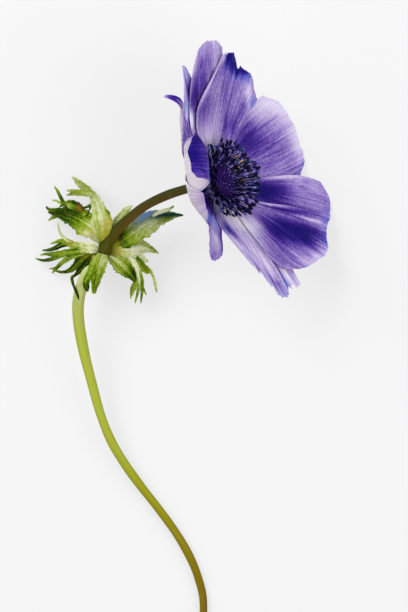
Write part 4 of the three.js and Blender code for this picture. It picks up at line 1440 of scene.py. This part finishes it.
def receptacle_material():
    """Olive green below, dark violet where the stamens stand."""
    m = new_material("receptacle")
    t = m.node_tree
    grain = fixed_noise(t, 500.0, 3.0)
    green = ramp(t, grain, [(0.3, srgb(84, 92, 34)), (0.7, srgb(132, 140, 66))])
    violet = ramp(t, grain, [(0.3, srgb(24, 12, 52)), (0.7, srgb(58, 34, 96))])
    colour = blend_colour(t, attribute(t, "top"), green, violet)
    finish_fleshy(t, colour, grain, strength=0.4, distance=0.0001, rough=0.6, gloss=0.04)
    return m


receptacle = make_receptacle()
cover(receptacle, receptacle_material())
finish_piece(receptacle, "receptacle", slot="stem")
print("receptacle faces:", len(receptacle.data.polygons))

# %% [markdown]
# The stem is one long tube from the bloom to its cut end: a thin dark stalk, the swollen node where the
# bracts sit, and the smooth green scape. Its line is a list of given points, and smooth curves run through
# them.

# %% The line of the stem
# height of the table top where the plant is set out
TABLE = -1.08
# x, y, z and radius, in millimetres, from the bloom to the cut end
STEM_PATH = [
    (1.2, 36.5, 28.8, 1.6), (-4.2, 35.5, 27.0, 1.40), (-11.2, 33.4, 24.0, 1.45),
    (-17.6, 30.4, 20.8, 1.43), (-22.6, 26.7, 18.2, 1.42), (-26.5, 23.0, 16.1, 1.6),
    (-29.2, 19.4, 15.0, 1.9), (-30.6, 16.8, 14.6, 2.35), (-32.0, 14.6, 14.1, 1.95),
    (-35.9, 9.2, 13.2, 1.9), (-38.2, 2.4, 12.1, 1.86), (-38.3, -4.6, 10.8, 1.78),
    (-36.8, -13.8, 9.0, 1.6), (-34.5, -23.2, 7.3, 1.48), (-31.8, -33.2, 5.7, 1.42),
    (-28.5, -41.6, 4.4, 1.4), (-24.4, -48.6, 3.4, 1.36), (-19.4, -55.6, 2.4, 1.32),
    (-13.9, -62.7, 1.6, 1.28), (-8.8, -69.8, 0.9, 1.26), (-4.7, -76.8, 0.5, 1.24),
    (-1.9, -83.6, 0.25, 1.23), (-0.2, -91.4, TABLE + 1.24, 1.22), (-0.8, -103.0, TABLE + 1.22, 1.22),
    (-3.2, -115.0, TABLE + 1.22, 1.22), (-7.2, -127.0, TABLE + 1.22, 1.22),
]
NODE_PLACE = np.array([-31.5, 15.2, 14.3])
# a path's direction is taken from points this share before and behind
STEP = 0.002


def along_path(path, t):
    """Points at shares t of the way along a path."""
    return np.stack([smooth([p[i] for p in path], t) for i in range(3)], axis=-1)


def centre_line(path, t):
    """Points, level sides and upward normals along a path."""
    way = unit(along_path(path, held(t + STEP)) - along_path(path, held(t - STEP)))
    side = unit(np.cross(way, [0.0, 0.0, 1.0]))
    return along_path(path, t), side, np.cross(side, way)


def path_length(path):
    """The length of a path, straight from point to point."""
    return np.linalg.norm(np.diff(np.array(path)[:, :3], axis=0), axis=1).sum()


print("stem length:", round(float(path_length(STEM_PATH)), 1), "mm")

# %% [markdown]
# A bevelled curve would give the same tube, but a flat grid rolled round the
# line keeps its UV map, which the fibres need. It has faint ribs and a slight
# wobble. The seam lies underneath and is merged, and both ends are closed and
# inset, so that a thin rim is left standing round the sunken pith.

# %% Making the stem
STEM_ROUND = 28
STEM_LONG = 260
MAP_LENGTH = 184
MAP_GIRTH = 10.2
RIBS = 11
RIB_DEPTH = 0.014
# the side painted browner faces away from the key light, partly as painted shade
BROWN_AND_SHADED_SIDE = np.array([0.75, -0.66, 0.0])
SAME_POINT = 0.000002
RIM_WIDTH = 0.00028
PITH_DEPTH = 0.0004


def close_tube():
    """Merges the seam of the active tube, closes its ends and sinks them."""
    edit_whole()
    bpy.ops.mesh.remove_doubles(threshold=SAME_POINT)
    bpy.ops.mesh.select_all(action="SELECT")
    bpy.ops.mesh.fill_holes(sides=0)
    face_outwards()
    bpy.ops.mesh.select_all(action="DESELECT")
    bpy.ops.mesh.select_mode(type="FACE")
    bpy.ops.mesh.select_face_by_sides(number=4, type="GREATER", extend=False)
    bpy.ops.mesh.inset(thickness=RIM_WIDTH, depth=-PITH_DEPTH)
    leave_edit()
    bpy.ops.object.shade_smooth_by_angle(angle=BLUNT_BELOW)


def make_stem():
    """The whole stem, with its regions painted as attributes."""
    obj, x, t = add_grid("flower_stem", STEM_ROUND, STEM_LONG)
    line, side, normal = centre_line(STEM_PATH, t)
    angle = 2 * math.pi * x
    out = side * np.sin(angle)[:, None] - normal * np.cos(angle)[:, None]
    wobble = 0.035 * np.sin(40 * t + 1.0) + 0.025 * np.sin(97 * t)
    radius = smooth([p[3] for p in STEM_PATH], t) * (1 + RIB_DEPTH * np.cos(RIBS * angle + 3 * t)) + wobble
    move_vertices(obj, place_rows(line + out * radius[:, None]))
    blank_map(obj, "Stem", t * MAP_LENGTH, x * MAP_GIRTH)
    # distance from the node, negative on the side of the bloom
    side_of_node = np.where(line[:, 0] < NODE_PLACE[0] + 0.2, 1, -1)
    past_node = np.linalg.norm(line - NODE_PLACE, axis=1) * side_of_node
    paint(obj, "stalk", held(0.5 - past_node / 2.0) * (t < 0.45))
    paint(obj, "run", t)
    # one side is painted browner, partly as painted shade
    paint(obj, "brown_and_shaded_side", held(0.5 + 0.5 * out @ BROWN_AND_SHADED_SIDE))
    paint(obj, "node_ring", np.exp(-((past_node / 1.6) ** 2)))
    close_tube()
    return obj


stem = make_stem()
print("stem faces:", len(stem.data.polygons))

# %% [markdown]
# The scape is pale under the node, then fresh green, then ochre at its old end, and browner on the side away
# from the light, which is partly painted shade. Two colour ramps along the stem, mixed by side, follow that
# better than one noise could. Fibres only tint it a little.

# %% The skin of the stem
BROWN_FROM = 0.66


def stem_material():
    """Brown-olive stalk, pale top of the scape, green then ochre below."""
    m = new_material("stem_skin")
    t = m.node_tree
    coarse, fine, veins = fibres(t, "Stem", 9.0, 3.0, 4.0)
    run = attribute(t, "run")
    brown_and_shaded_side = attribute(t, "brown_and_shaded_side")
    sway = plus(t, run, times(t, less(t, coarse, 0.5), 0.03))
    green = ramp(t, sway, [
        (0.33, srgb(176, 184, 128)),
        (0.40, srgb(146, 152, 82)),
        (0.46, srgb(142, 152, 54)),
        (0.55, srgb(144, 152, 48)),
        (0.66, srgb(132, 136, 30)),
        (0.74, srgb(120, 112, 6)),
        (1.00, srgb(100, 84, 6)),
    ])
    ochre = ramp(t, sway, [(0.70, srgb(130, 126, 20)), (0.80, srgb(106, 84, 2)), (0.90, srgb(90, 58, 2))])
    lower = maths(t, "MULTIPLY", less(t, run, BROWN_FROM), 5.0, clamp=True)
    scape = blend_colour(t, times(t, lower, brown_and_shaded_side), green, ochre)
    olive = ramp(t, run, [(0.0, srgb(40, 44, 14)), (0.15, srgb(52, 48, 12)), (0.23, srgb(50, 50, 0))])
    russet = ramp(t, run, [(0.0, srgb(84, 74, 30)), (0.15, srgb(102, 68, 26)), (0.23, srgb(68, 62, 0))])
    # the stalk's russet side is partly painted shade
    stalk = blend_colour(t, maths(t, "POWER", brown_and_shaded_side, 2.2), olive, russet)
    colour = blend_colour(t, attribute(t, "stalk"), scape, stalk)
    colour = blend_colour(t, times(t, attribute(t, "node_ring"), 0.75), colour, srgb(52, 44, 0))
    grain = shares(t, fine, 0.7, veins, 0.3)
    # fibres lighter than the middle are tinted pale, and darker ones dark
    tint = times(t, less(t, grain, 0.5), 0.16)
    colour = blend_colour(t, maths(t, "MAXIMUM", tint, 0.0), colour, srgb(214, 216, 160))
    colour = blend_colour(t, maths(t, "MAXIMUM", times(t, tint, -1.6), 0.0), colour, srgb(60, 66, 10))
    finish_fleshy(t, colour, grain, strength=0.35, distance=0.00015, rough=0.48, gloss=0.04)
    return m


cover(stem, stem_material())
finish_piece(stem, "stem", slot="stem")
print("stem finish:", stem.data.materials[0].name)

# %% [markdown]
# Three bracts sit round the node. Each is a leaf cut deeply into narrow blades,
# pale and almost white at its base, green further out and nearly black at some
# tips. It could be cut from one broad sheet, but then its veins would not turn
# into the blades. So every blade is a narrow grid bent along its own line, and
# the blades of one bract are joined. The upper bract fans out to the upper left.

# %% Blades of the upper bract
# tone from foot to tip (0 cream, 1 black-green), then x, y, z, half width (mm)
UPPER_BRACT = {
    "body": ((0.5, 0.34, 0.24, 0.2, 0.28, 0.36, 0.36, 0.3), (
        (-30.5, 18.3, 14.6, 1.1), (-30.7, 22.2, 17, 2.3), (-31, 25.8, 17.8, 3),
        (-31.8, 28.9, 17, 2.3), (-32.6, 31.2, 15.6, 1.8), (-33.7, 33.4, 13.4, 1.2),
        (-35.6, 35.5, 10, 1.1), (-37.9, 37.3, 6, 0.9), (-39.4, 38.7, 3, 0.6), (-40.8, 40, -0.8, 0.1))),
    "prong": ((0.3, 0.5, 0.5, 0.45), (
        (-34.2, 34, 12.6, 0.7), (-36.7, 34.5, 9.6, 0.9), (-39.3, 34.8, 6.4, 0.8),
        (-41, 34.5, 3.6, 0.4), (-42.3, 34.2, 1, 0.1))),
    "prong2": ((0.5, 0.4, 0.3), (
        (-38, 35, 8, 0.5), (-40.3, 35.4, 5.4, 0.4), (-42.2, 35.6, 3, 0.1))),
    "tooth": ((0.35, 0.75, 0.85, 0.8), (
        (-33.2, 31.5, 15.4, 0.3), (-34.4, 30.8, 15, 0.4), (-35.6, 30.2, 14.6, 0.3),
        (-37.3, 29.8, 14, 0.1))),
    "tooth2": ((0.6, 0.7, 0.6), (
        (-34.3, 30.6, 15, 0.2), (-34.6, 29.9, 14.6, 0.2), (-35, 29.1, 14.2, 0.1))),
    "fan": ((0.2, 0.2, 0.48, 0.7, 0.8, 0.82, 0.8, 0.62), (
        (-31.1, 19.5, 15, 1.2), (-33, 22.8, 17, 3.2), (-35.6, 24.8, 17, 3.7),
        (-38.4, 26.5, 15.2, 3.3), (-41.1, 27.7, 12.2, 2.6), (-43.5, 28.4, 8.8, 1.9),
        (-45.5, 28.8, 5.6, 1.3), (-47.2, 28.9, 2.4, 0.7), (-48, 28.8, 0.4, 0.2))),
    "hook": ((0.8, 0.7, 0.85, 0.95), (
        (-45.5, 29.5, 5.6, 0.6), (-47, 29.7, 3.2, 0.4), (-48.1, 30, 1.6, 0.3),
        (-48.7, 30.7, 0.6, 0.1))),
    "fang": ((0.8, 0.55, 0.35), (
        (-45.2, 27.8, 5.6, 0.6), (-46.7, 27.2, 3, 0.4), (-48, 26.4, 0.6, 0.1))),
    "crest": ((0.5, 0.9, 0.62, 0.3, 0.5, 0.9), (
        (-35.9, 27.8, 16.6, 1), (-37.9, 29.5, 16.6, 1.3), (-39.7, 30.7, 15.2, 1.4),
        (-41.6, 31.2, 13, 1), (-43.1, 30.9, 10.8, 0.5), (-44.1, 30.4, 9.6, 0.1))),
    "horn": ((0.95, 0.95, 0.85, 0.7, 0.5), (
        (-41.5, 30.5, 13, 0.6), (-43, 31.8, 10.8, 0.5), (-44.1, 33.7, 8.6, 0.4),
        (-45, 35.4, 6.6, 0.3), (-46, 36.7, 4.4, 0.1))),
    "thorn": ((0.6, 0.4, 0.3, 0.3), (
        (-42.8, 31.2, 11, 0.4), (-44.2, 31.7, 9.4, 0.3), (-45.4, 32.3, 8, 0.2),
        (-46.4, 32.4, 6.6, 0.1))),
}
print("blades of the upper bract:", len(UPPER_BRACT))

# %% [markdown]
# The lower bract spreads to the left of the node and down beside the scape. It
# is finely cut, and its tips are the darkest of all.

# %% Blades of the lower bract
LOWER_BRACT = {
    "sheet": ((0.3, 0.14, 0.22, 0.34, 0.42, 0.4), (
        (-31.4, 17, 15.4, 1), (-33.7, 17.5, 17, 1.4), (-36.2, 17.8, 16.4, 1.5),
        (-38.4, 18.2, 14.6, 1.4), (-40.3, 18.7, 12.4, 1), (-41.9, 19.5, 10.2, 0.7))),
    "curl": ((0.3, 0.22, 0.2, 0.25, 0.3), (
        (-39.7, 19.1, 12.8, 0.6), (-41.9, 20.2, 10.6, 0.5), (-43.5, 21.6, 9, 0.3),
        (-44.4, 23.3, 8, 0.2), (-44.8, 25.3, 7.4, 0.1))),
    "lip": ((0.3, 0.45, 0.5, 0.35, 0.3), (
        (-40.3, 19, 12.4, 0.7), (-42.5, 19.8, 10, 0.7), (-44.3, 19.9, 8, 0.5),
        (-45.8, 19.5, 6.4, 0.3), (-47.2, 19.2, 5, 0.1))),
    "claw": ((0.5, 0.85, 0.95, 0.9, 0.7), (
        (-41.6, 19, 10.8, 0.8), (-43.5, 18.8, 8.4, 0.8), (-45.5, 17.9, 5.8, 0.6),
        (-47.6, 17.3, 3, 0.4), (-49.9, 17.2, -0.4, 0.1))),
    "left": ((0.3, 0.62, 0.62, 0.6, 0.75, 0.8, 0.5), (
        (-34.3, 16.9, 16.8, 0.9), (-37.8, 16.8, 15.2, 1), (-40.9, 16.4, 12.4, 1),
        (-43.8, 16.1, 9, 0.9), (-46.7, 15.9, 5.6, 0.6), (-48.7, 16, 3.4, 0.3),
        (-50.5, 15.7, 1.6, 0.1))),
    "left2": ((0.6, 0.8, 0.95, 0.95, 0.6), (
        (-42.8, 15.6, 9.8, 0.6), (-45.4, 14.9, 6.6, 0.6), (-47.4, 14.3, 4, 0.5),
        (-49.7, 14.1, 1.6, 0.3), (-52, 14.7, -0.8, 0.1))),
    "branch": ((0.3, 0.55, 0.6, 0.6, 0.8, 0.5), (
        (-36.5, 16.3, 15.6, 0.8), (-39.4, 15.5, 13.2, 0.8), (-41.8, 14.4, 10.2, 0.7),
        (-43.7, 13.2, 7.2, 0.6), (-45.2, 11.8, 4.2, 0.4), (-46.9, 10.2, -0.8, 0.1))),
    "barb": ((0.7, 0.6, 0.5), (
        (-44.7, 12.3, 5.6, 0.3), (-46.2, 11.6, 4, 0.2), (-47.6, 11.5, 2.6, 0.1))),
    "olive": ((0.35, 0.75, 0.8, 0.75, 0.85, 0.85, 0.8, 0.7), (
        (-33.4, 15.8, 16.6, 1), (-35.9, 14.9, 15.4, 1.4), (-38, 13.5, 13.4, 1.5),
        (-39.7, 11.8, 11, 1), (-41.7, 10.7, 8.8, 0.5), (-43.6, 10.4, 7.2, 0.3),
        (-45.3, 10.8, 6, 0.2), (-46.6, 11.5, 5, 0.1))),
    "shade": ((0.8, 0.97, 1, 0.98, 0.95), (
        (-33.4, 15.5, 16.9, 0.9), (-34.9, 13.7, 15.8, 1), (-36.7, 11.9, 14.2, 0.9),
        (-38.5, 10.2, 12.6, 0.6), (-40.1, 8.7, 11.8, 0.1))),
    "tassel": ((0.9, 0.95, 0.95, 0.98, 0.98, 0.9), (
        (-39.2, 9.6, 12.6, 0.2), (-40.3, 8.7, 12.2, 0.4), (-39.9, 6.7, 14.2, 0.3),
        (-39.2, 4.9, 14.4, 0.3), (-38.6, 3.4, 14.2, 0.3), (-38.2, 2, 14, 0.1))),
    "front_left": ((0.4, 0.6, 0.68, 0.78, 1, 1), (
        (-32.7, 15.2, 17.2, 1), (-33.5, 12.5, 17.4, 1.2), (-34.6, 9.7, 17, 1.1),
        (-35.9, 7.4, 16.4, 0.9), (-35.7, 5.8, 16, 0.8), (-35.5, 4.4, 15.6, 0.3))),
    "front_right": ((0.3, 0.36, 0.52, 0.64, 0.68, 0.7), (
        (-30.8, 15.8, 17, 1.5), (-31.5, 13.4, 17.4, 2.2), (-32.2, 10.6, 17.2, 1.8),
        (-32.8, 7.9, 16.6, 1.3), (-33.3, 5.8, 16, 0.9), (-33.5, 3.8, 15.4, 0.4))),
}
print("blades of the lower bract:", len(LOWER_BRACT))

# %% [markdown]
# The right bract is broad and the palest of the three, nearly white along its wing, which is partly painted
# light where the main blade shades it. Its thin blades hang over its edge like threads.

# %% Blades of the right bract
RIGHT_BRACT = {
    "up": ((0.85, 0.6, 0.4, 0.35, 0.3, 0.2), (
        (-30.2, 18.9, 14.8, 0.8), (-29.4, 21.6, 14.8, 1), (-27.6, 24.4, 14.6, 1.1),
        (-25.6, 26.8, 14, 1.1), (-23.7, 29.2, 13.2, 0.9), (-21.8, 30.7, 12.4, 0.1))),
    "main": ((0.45, 0.76, 0.46, 0.3, 0.26, 0.34, 0.44, 0.5, 0.6), (
        (-29.2, 17.4, 14.6, 1.4), (-25.9, 19.5, 14.4, 2.6), (-22.9, 21.6, 14.4, 3.4),
        (-19.5, 23.9, 14, 3.7), (-16.2, 25.9, 13.2, 3.2), (-13.1, 27.1, 12, 2.3),
        (-10.4, 27.6, 10.8, 1.3), (-8.3, 27.8, 9.8, 0.6), (-6.4, 27.8, 9, 0.1))),
    "tongue": ((0.24, 0.1, 0.1, 0.2, 0.9), (
        (-15.7, 27.4, 14.2, 0.3), (-14.2, 28.3, 14, 0.5), (-12.5, 29, 13.6, 0.5),
        (-10.7, 29.5, 13, 0.4), (-9.2, 30.5, 12.4, 0.1))),
    # the wing's low tones are partly painted light where the main blade shades it
    "wing": ((0.4, 0.16, 0.05, 0.02, 0.14, 0.3, 0.3), (
        (-29.4, 16.6, 14.9, 1.3), (-25.3, 17.2, 14.2, 2), (-22.3, 17.7, 13.2, 2.6),
        (-19.5, 18, 11.8, 2.3), (-17.1, 17.6, 10.2, 1.3), (-15.4, 17, 9, 0.6),
        (-13.9, 16.1, 7.8, 0.1))),
    "wing2": ((0.2, 0.04, 0.0, 0.03, 0.16), (
        (-26.2, 16.2, 14.2, 1.1), (-23.2, 15.6, 13, 2), (-20.2, 14.8, 11.6, 1.8),
        (-18, 14.1, 10.4, 0.7), (-17.1, 13.6, 9.8, 0.2))),
    "lobe": ((0.36, 0.4, 0.46, 0.66, 0.82, 0.8), (
        (-28.9, 15.5, 14.8, 1.1), (-26.8, 14, 14.2, 2.1), (-24.6, 12.1, 13, 2.6),
        (-22.8, 10.2, 11.6, 1.9), (-21.6, 8.6, 10.4, 1), (-21.1, 7.3, 9.6, 0.2))),
    "rib": ((0.2, 0.1, 0.14, 0.3, 0.5, 0.5), (
        (-22.9, 15.3, 13, 1), (-21.2, 12.5, 11.8, 1), (-20.2, 9.8, 10.4, 0.9), (-19.8, 7, 9, 0.7),
        (-20.2, 4.6, 7.8, 0.4), (-21.2, 0.9, 6, 0.1))),
    "fork": ((0.4, 0.6, 0.55, 0.4), (
        (-20.7, 7.7, 9.6, 0.6), (-21.6, 5.7, 8.4, 0.8), (-22.1, 4.1, 7.4, 0.5),
        (-22.5, 2.3, 6.4, 0.1))),
    "thread": ((0.4, 0.7, 0.8, 0.75, 0.7), (
        (-19.8, 11, 10.8, 0.5), (-19.1, 8.3, 9.6, 0.5), (-18.9, 5.8, 8.4, 0.4),
        (-19.1, 3.4, 7.2, 0.3), (-19.4, 0.9, 6, 0.1))),
    "spur": ((0.7, 0.6, 0.5), (
        (-19, 6.7, 8.8, 0.3), (-18.4, 4.9, 7.8, 0.2), (-17.7, 3.4, 7, 0.1))),
    "dark": ((0.7, 0.66, 0.6, 0.5), (
        (-20.5, 15, 12.4, 0.4), (-19.4, 13.3, 11.6, 0.8), (-18.2, 11.4, 10.6, 1),
        (-17, 10, 9.8, 0.4))),
    "cord": ((0.6, 0.4, 0.25, 0.2, 0.35), (
        (-17.6, 11.9, 10.8, 0.5), (-16.3, 10.5, 10.2, 0.4), (-15.4, 8.6, 9.4, 0.3),
        (-14.9, 6.4, 8.6, 0.4), (-14.5, 4.2, 7.8, 0.1))),
}
print("blades of the right bract:", len(RIGHT_BRACT))

# %% [markdown]
# Single blades carry their own stains: bluish and teal patches, rusty edges and
# yellow feet. They are soft dabs again, as on the petals, here as (across,
# along, width across, width along, strength). `foot` and `dusk` darken a blade
# near the node.

# %% Stains on single blades
BLADE_MARKS = {
    "main": dict(
        foot=1.0,
        yellow=((-0.4, 0.08, 1.0, 0.05, 0.7),),
        blue=((-0.75, 0.52, 0.45, 0.13, 0.9), (-0.5, 0.42, 0.3, 0.1, 0.45)),
        teal=((-0.35, 0.60, 0.4, 0.10, 0.8), (-0.3, 0.80, 0.7, 0.16, 1.0), (0.0, 0.95, 1.5, 0.08, 0.8)),
        tone=((-0.3, 0.62, 0.3, 0.08, 0.4), (-0.5, 0.16, 0.7, 0.10, 0.3), (0.3, 0.85, 0.6, 0.2, -0.1),
              (-0.05, 0.74, 0.35, 0.10, 0.45))),
    "fan": dict(
        foot=0.6,
        yellow=((-0.3, 0.12, 1.0, 0.08, 0.5),),
        rust=((-0.1, 0.52, 0.07, 0.2, 0.6), (0.55, 0.34, 0.12, 0.08, 0.5)),
        tone=((0.9, 0.35, 0.3, 0.2, 0.35), (-0.9, 0.5, 0.35, 0.2, 0.15))),
    "crest": dict(rust=((0.2, 0.22, 0.6, 0.1, 0.9),), tone=((0.8, 0.45, 0.6, 0.3, 0.5),)),
    "sheet": dict(rust=((0.2, 0.86, 0.7, 0.08, 0.9),)),
    "left": dict(rust=((0.1, 0.35, 0.15, 0.2, 0.3),)),
    "olive": dict(
        rust=((-0.1, 0.28, 0.12, 0.2, 0.8), (0.4, 0.12, 0.2, 0.1, 0.8)),
        tone=((0.5, 0.4, 0.3, 0.3, 0.15),)),
    "shade": dict(rust=((0.3, 0.1, 0.3, 0.12, 0.6),)),
    "fork": dict(rust=((0.5, 0.4, 0.5, 0.25, 0.6),)),
    "dark": dict(rust=((-0.3, 0.7, 0.5, 0.2, 0.5),)),
    "wing": dict(
        foot=0.9,
        yellow=((0.0, 0.12, 1.2, 0.10, 0.85),),
        dusk=((0.2, 0.08, 1.5, 0.07, 0.55),),
        tone=((-0.3, 0.86, 0.5, 0.1, 0.35), (-0.9, 0.55, 0.4, 0.2, 0.15))),
    "body": dict(
        foot=0.8,
        yellow=((0.45, 0.18, 0.55, 0.09, 0.75), (0.0, 0.09, 0.8, 0.05, 0.6)),
        tone=((0.85, 0.30, 0.25, 0.06, 0.45), (-0.8, 0.22, 0.4, 0.12, 0.12))),
    "curl": dict(rust=((0.0, 0.06, 1.0, 0.10, 0.8),)),
    "lip": dict(rust=((0.0, 0.04, 1.0, 0.09, 0.8),)),
    "lobe": dict(tone=((-0.7, 0.65, 0.5, 0.2, 0.25), (0.1, 0.5, 0.1, 0.4, -0.2))),
    "rib": dict(tone=((0.0, 0.5, 0.2, 0.5, -0.1),)),
}

print("blades with stains:", len(BLADE_MARKS))

# %% [markdown]
# A blade is ridged along its middle, has a few shallow pleats and a slightly
# frilled edge. Broad blades get more faces than threads, which need few.

# %% Bending one blade
BLADE_WALL = 0.00032
BROAD_FROM = 1.2
# faces across, and faces along for each point of the path
BROAD_FACES = (14, 8)
THREAD_FACES = (8, 6)
THINNEST = 0.06
RIDGE = 0.16
PLEAT = 0.06
MIDRIB = 0.16
FOOT_REACH = 3.4
FOOT_SHARE = 0.4
# how far apart two blades' frills and two blades' fibres start
FRILL_STEP = 2.3
STREAK_STEP = 1.9


def paint_blade(obj, name, tones, t, v, near):
    """Paints the tone of a blade, its stains and, near the node, its dark foot."""
    marks = BLADE_MARKS.get(name, {})
    paint(obj, "tone", held(smooth(tones, t) + dabs(marks.get("tone", ()), t, v)))
    for stain in ("blue", "teal", "rust", "yellow"):
        paint(obj, stain, held(dabs(marks.get(stain, ()), t, v)))
    paint(obj, "foot", held(near * marks.get("foot", FOOT_SHARE) + dabs(marks.get("dusk", ()), t, v)))


def make_blade(name, tones, path, number):
    """One blade: a grid bent along its path, keeled and a little frilled."""
    half = [p[3] for p in path]
    broad = max(half)
    across, along = BROAD_FACES if broad > BROAD_FROM else THREAD_FACES
    obj, x, t = add_grid(name, across, along * len(path))
    v = across_sheet(x)
    line, side, normal = centre_line(path, t)
    phase = number * FRILL_STEP
    frill = 1 + 0.06 * np.sin(23 * t + phase) + 0.06 * np.sin(51 * t + 2 * phase) * np.sign(v)
    frill += 0.05 * np.sin(83 * t + 3 * phase + 2 * np.sign(v)) * np.abs(v)
    wide = np.maximum(smooth(half, t), THINNEST) * frill
    ridge = -RIDGE * wide * np.abs(v) ** 1.5 + 0.05 * broad * np.sin(7 * t + phase) * v
    pleat = PLEAT * broad * np.cos(4.5 * math.pi * v) * held(t * 3) * held((1 - t) * 3)
    points = line + side * (v * wide)[:, None] + normal * (ridge + pleat)[:, None]
    move_vertices(obj, place_rows(points))
    blank_map(obj, "Blade", t * path_length(path), v * broad)
    near = np.exp(-((np.linalg.norm(points - NODE_PLACE, axis=1) / FOOT_REACH) ** 2))
    paint_blade(obj, name, tones, t, v, near)
    paint(obj, "midrib", np.exp(-((v * wide / MIDRIB) ** 2)) * held(broad - 0.4))
    paint(obj, "seed", number * STREAK_STEP)
    give_wall(obj, BLADE_WALL)
    return obj


print("faces across a broad blade and a thread:", BROAD_FACES[0], THREAD_FACES[0])

# %% [markdown]
# One finish serves all blades. The painted tone picks a green, fibres and a
# fine crinkle break it up, and the stains are laid over it one by one.

# %% The bracts' finish
def bract_material():
    """Leaf green on a tone attribute, pale veins, a few rusty and teal marks."""
    m = new_material("bract_leaf")
    t = m.node_tree
    coarse, fine, veins = fibres(t, "Blade", 16.0, 1.6, attribute(t, "seed"))
    streak = shares(t, coarse, 0.6, fine, 0.4)
    mottle = less(t, fixed_noise(t, 900.0, 3.0, 0.6), 0.5)
    level = plus(t, attribute(t, "tone"), times(t, less(t, streak, 0.5), 0.62))
    level = plus(t, level, times(t, mottle, 0.7))
    level = less(t, level, times(t, veins, 0.12))
    level = less(t, level, times(t, attribute(t, "midrib"), 0.12), clamp=True)
    colour = ramp(t, level, [
        (0.00, srgb(214, 216, 182)),
        (0.20, srgb(180, 190, 122)),
        (0.38, srgb(142, 160, 50)),
        (0.55, srgb(112, 140, 14)),
        (0.75, srgb(62, 92, 0)),
        (1.00, srgb(8, 24, 0)),
    ])
    # each stain: its attribute, how strong it can be, its darkest and palest colour
    for stain, most, darkest, palest in (
        ("teal", 1.0, srgb(10, 46, 52), srgb(42, 96, 84)),
        ("blue", 1.0, srgb(52, 86, 146), srgb(112, 142, 186)),
        ("rust", 0.8, srgb(96, 44, 4), srgb(170, 122, 24)),
        ("yellow", 1.0, srgb(150, 138, 14), srgb(194, 184, 62)),
    ):
        streaky = ramp(t, streak, [(0.2, darkest), (0.8, palest)])
        colour = blend_colour(t, times(t, attribute(t, stain), most), colour, streaky)
    colour = blend_colour(t, attribute(t, "foot"), colour, srgb(72, 64, 0))
    finish_leafy(t, colour, streak, through=0.3, strength=0.5, distance=0.0002, rough=0.5, gloss=0.05)
    return m


BRACT_FINISH = bract_material()
print("bract finish:", BRACT_FINISH.name)

# %% [markdown]
# Last, the blades are bent, joined into their three bracts and finished. Their
# running number gives each its own frill.

# %% Making the bracts
BRACTS = {"bract_upper": UPPER_BRACT, "bract_lower": LOWER_BRACT, "bract_right": RIGHT_BRACT}

blade_number = 0
for bract, blades in BRACTS.items():
    group = []
    for name, (tones, path) in blades.items():
        blade_number += 1
        group.append(make_blade(name, tones, path, blade_number))
    leaf = join_all(group, bract.replace("bract", "cut_bract"))
    cover(leaf, BRACT_FINISH)
    finish_piece(leaf, bract, slot="bract")
    print(bract, "blades:", len(group), "faces:", len(leaf.data.polygons))
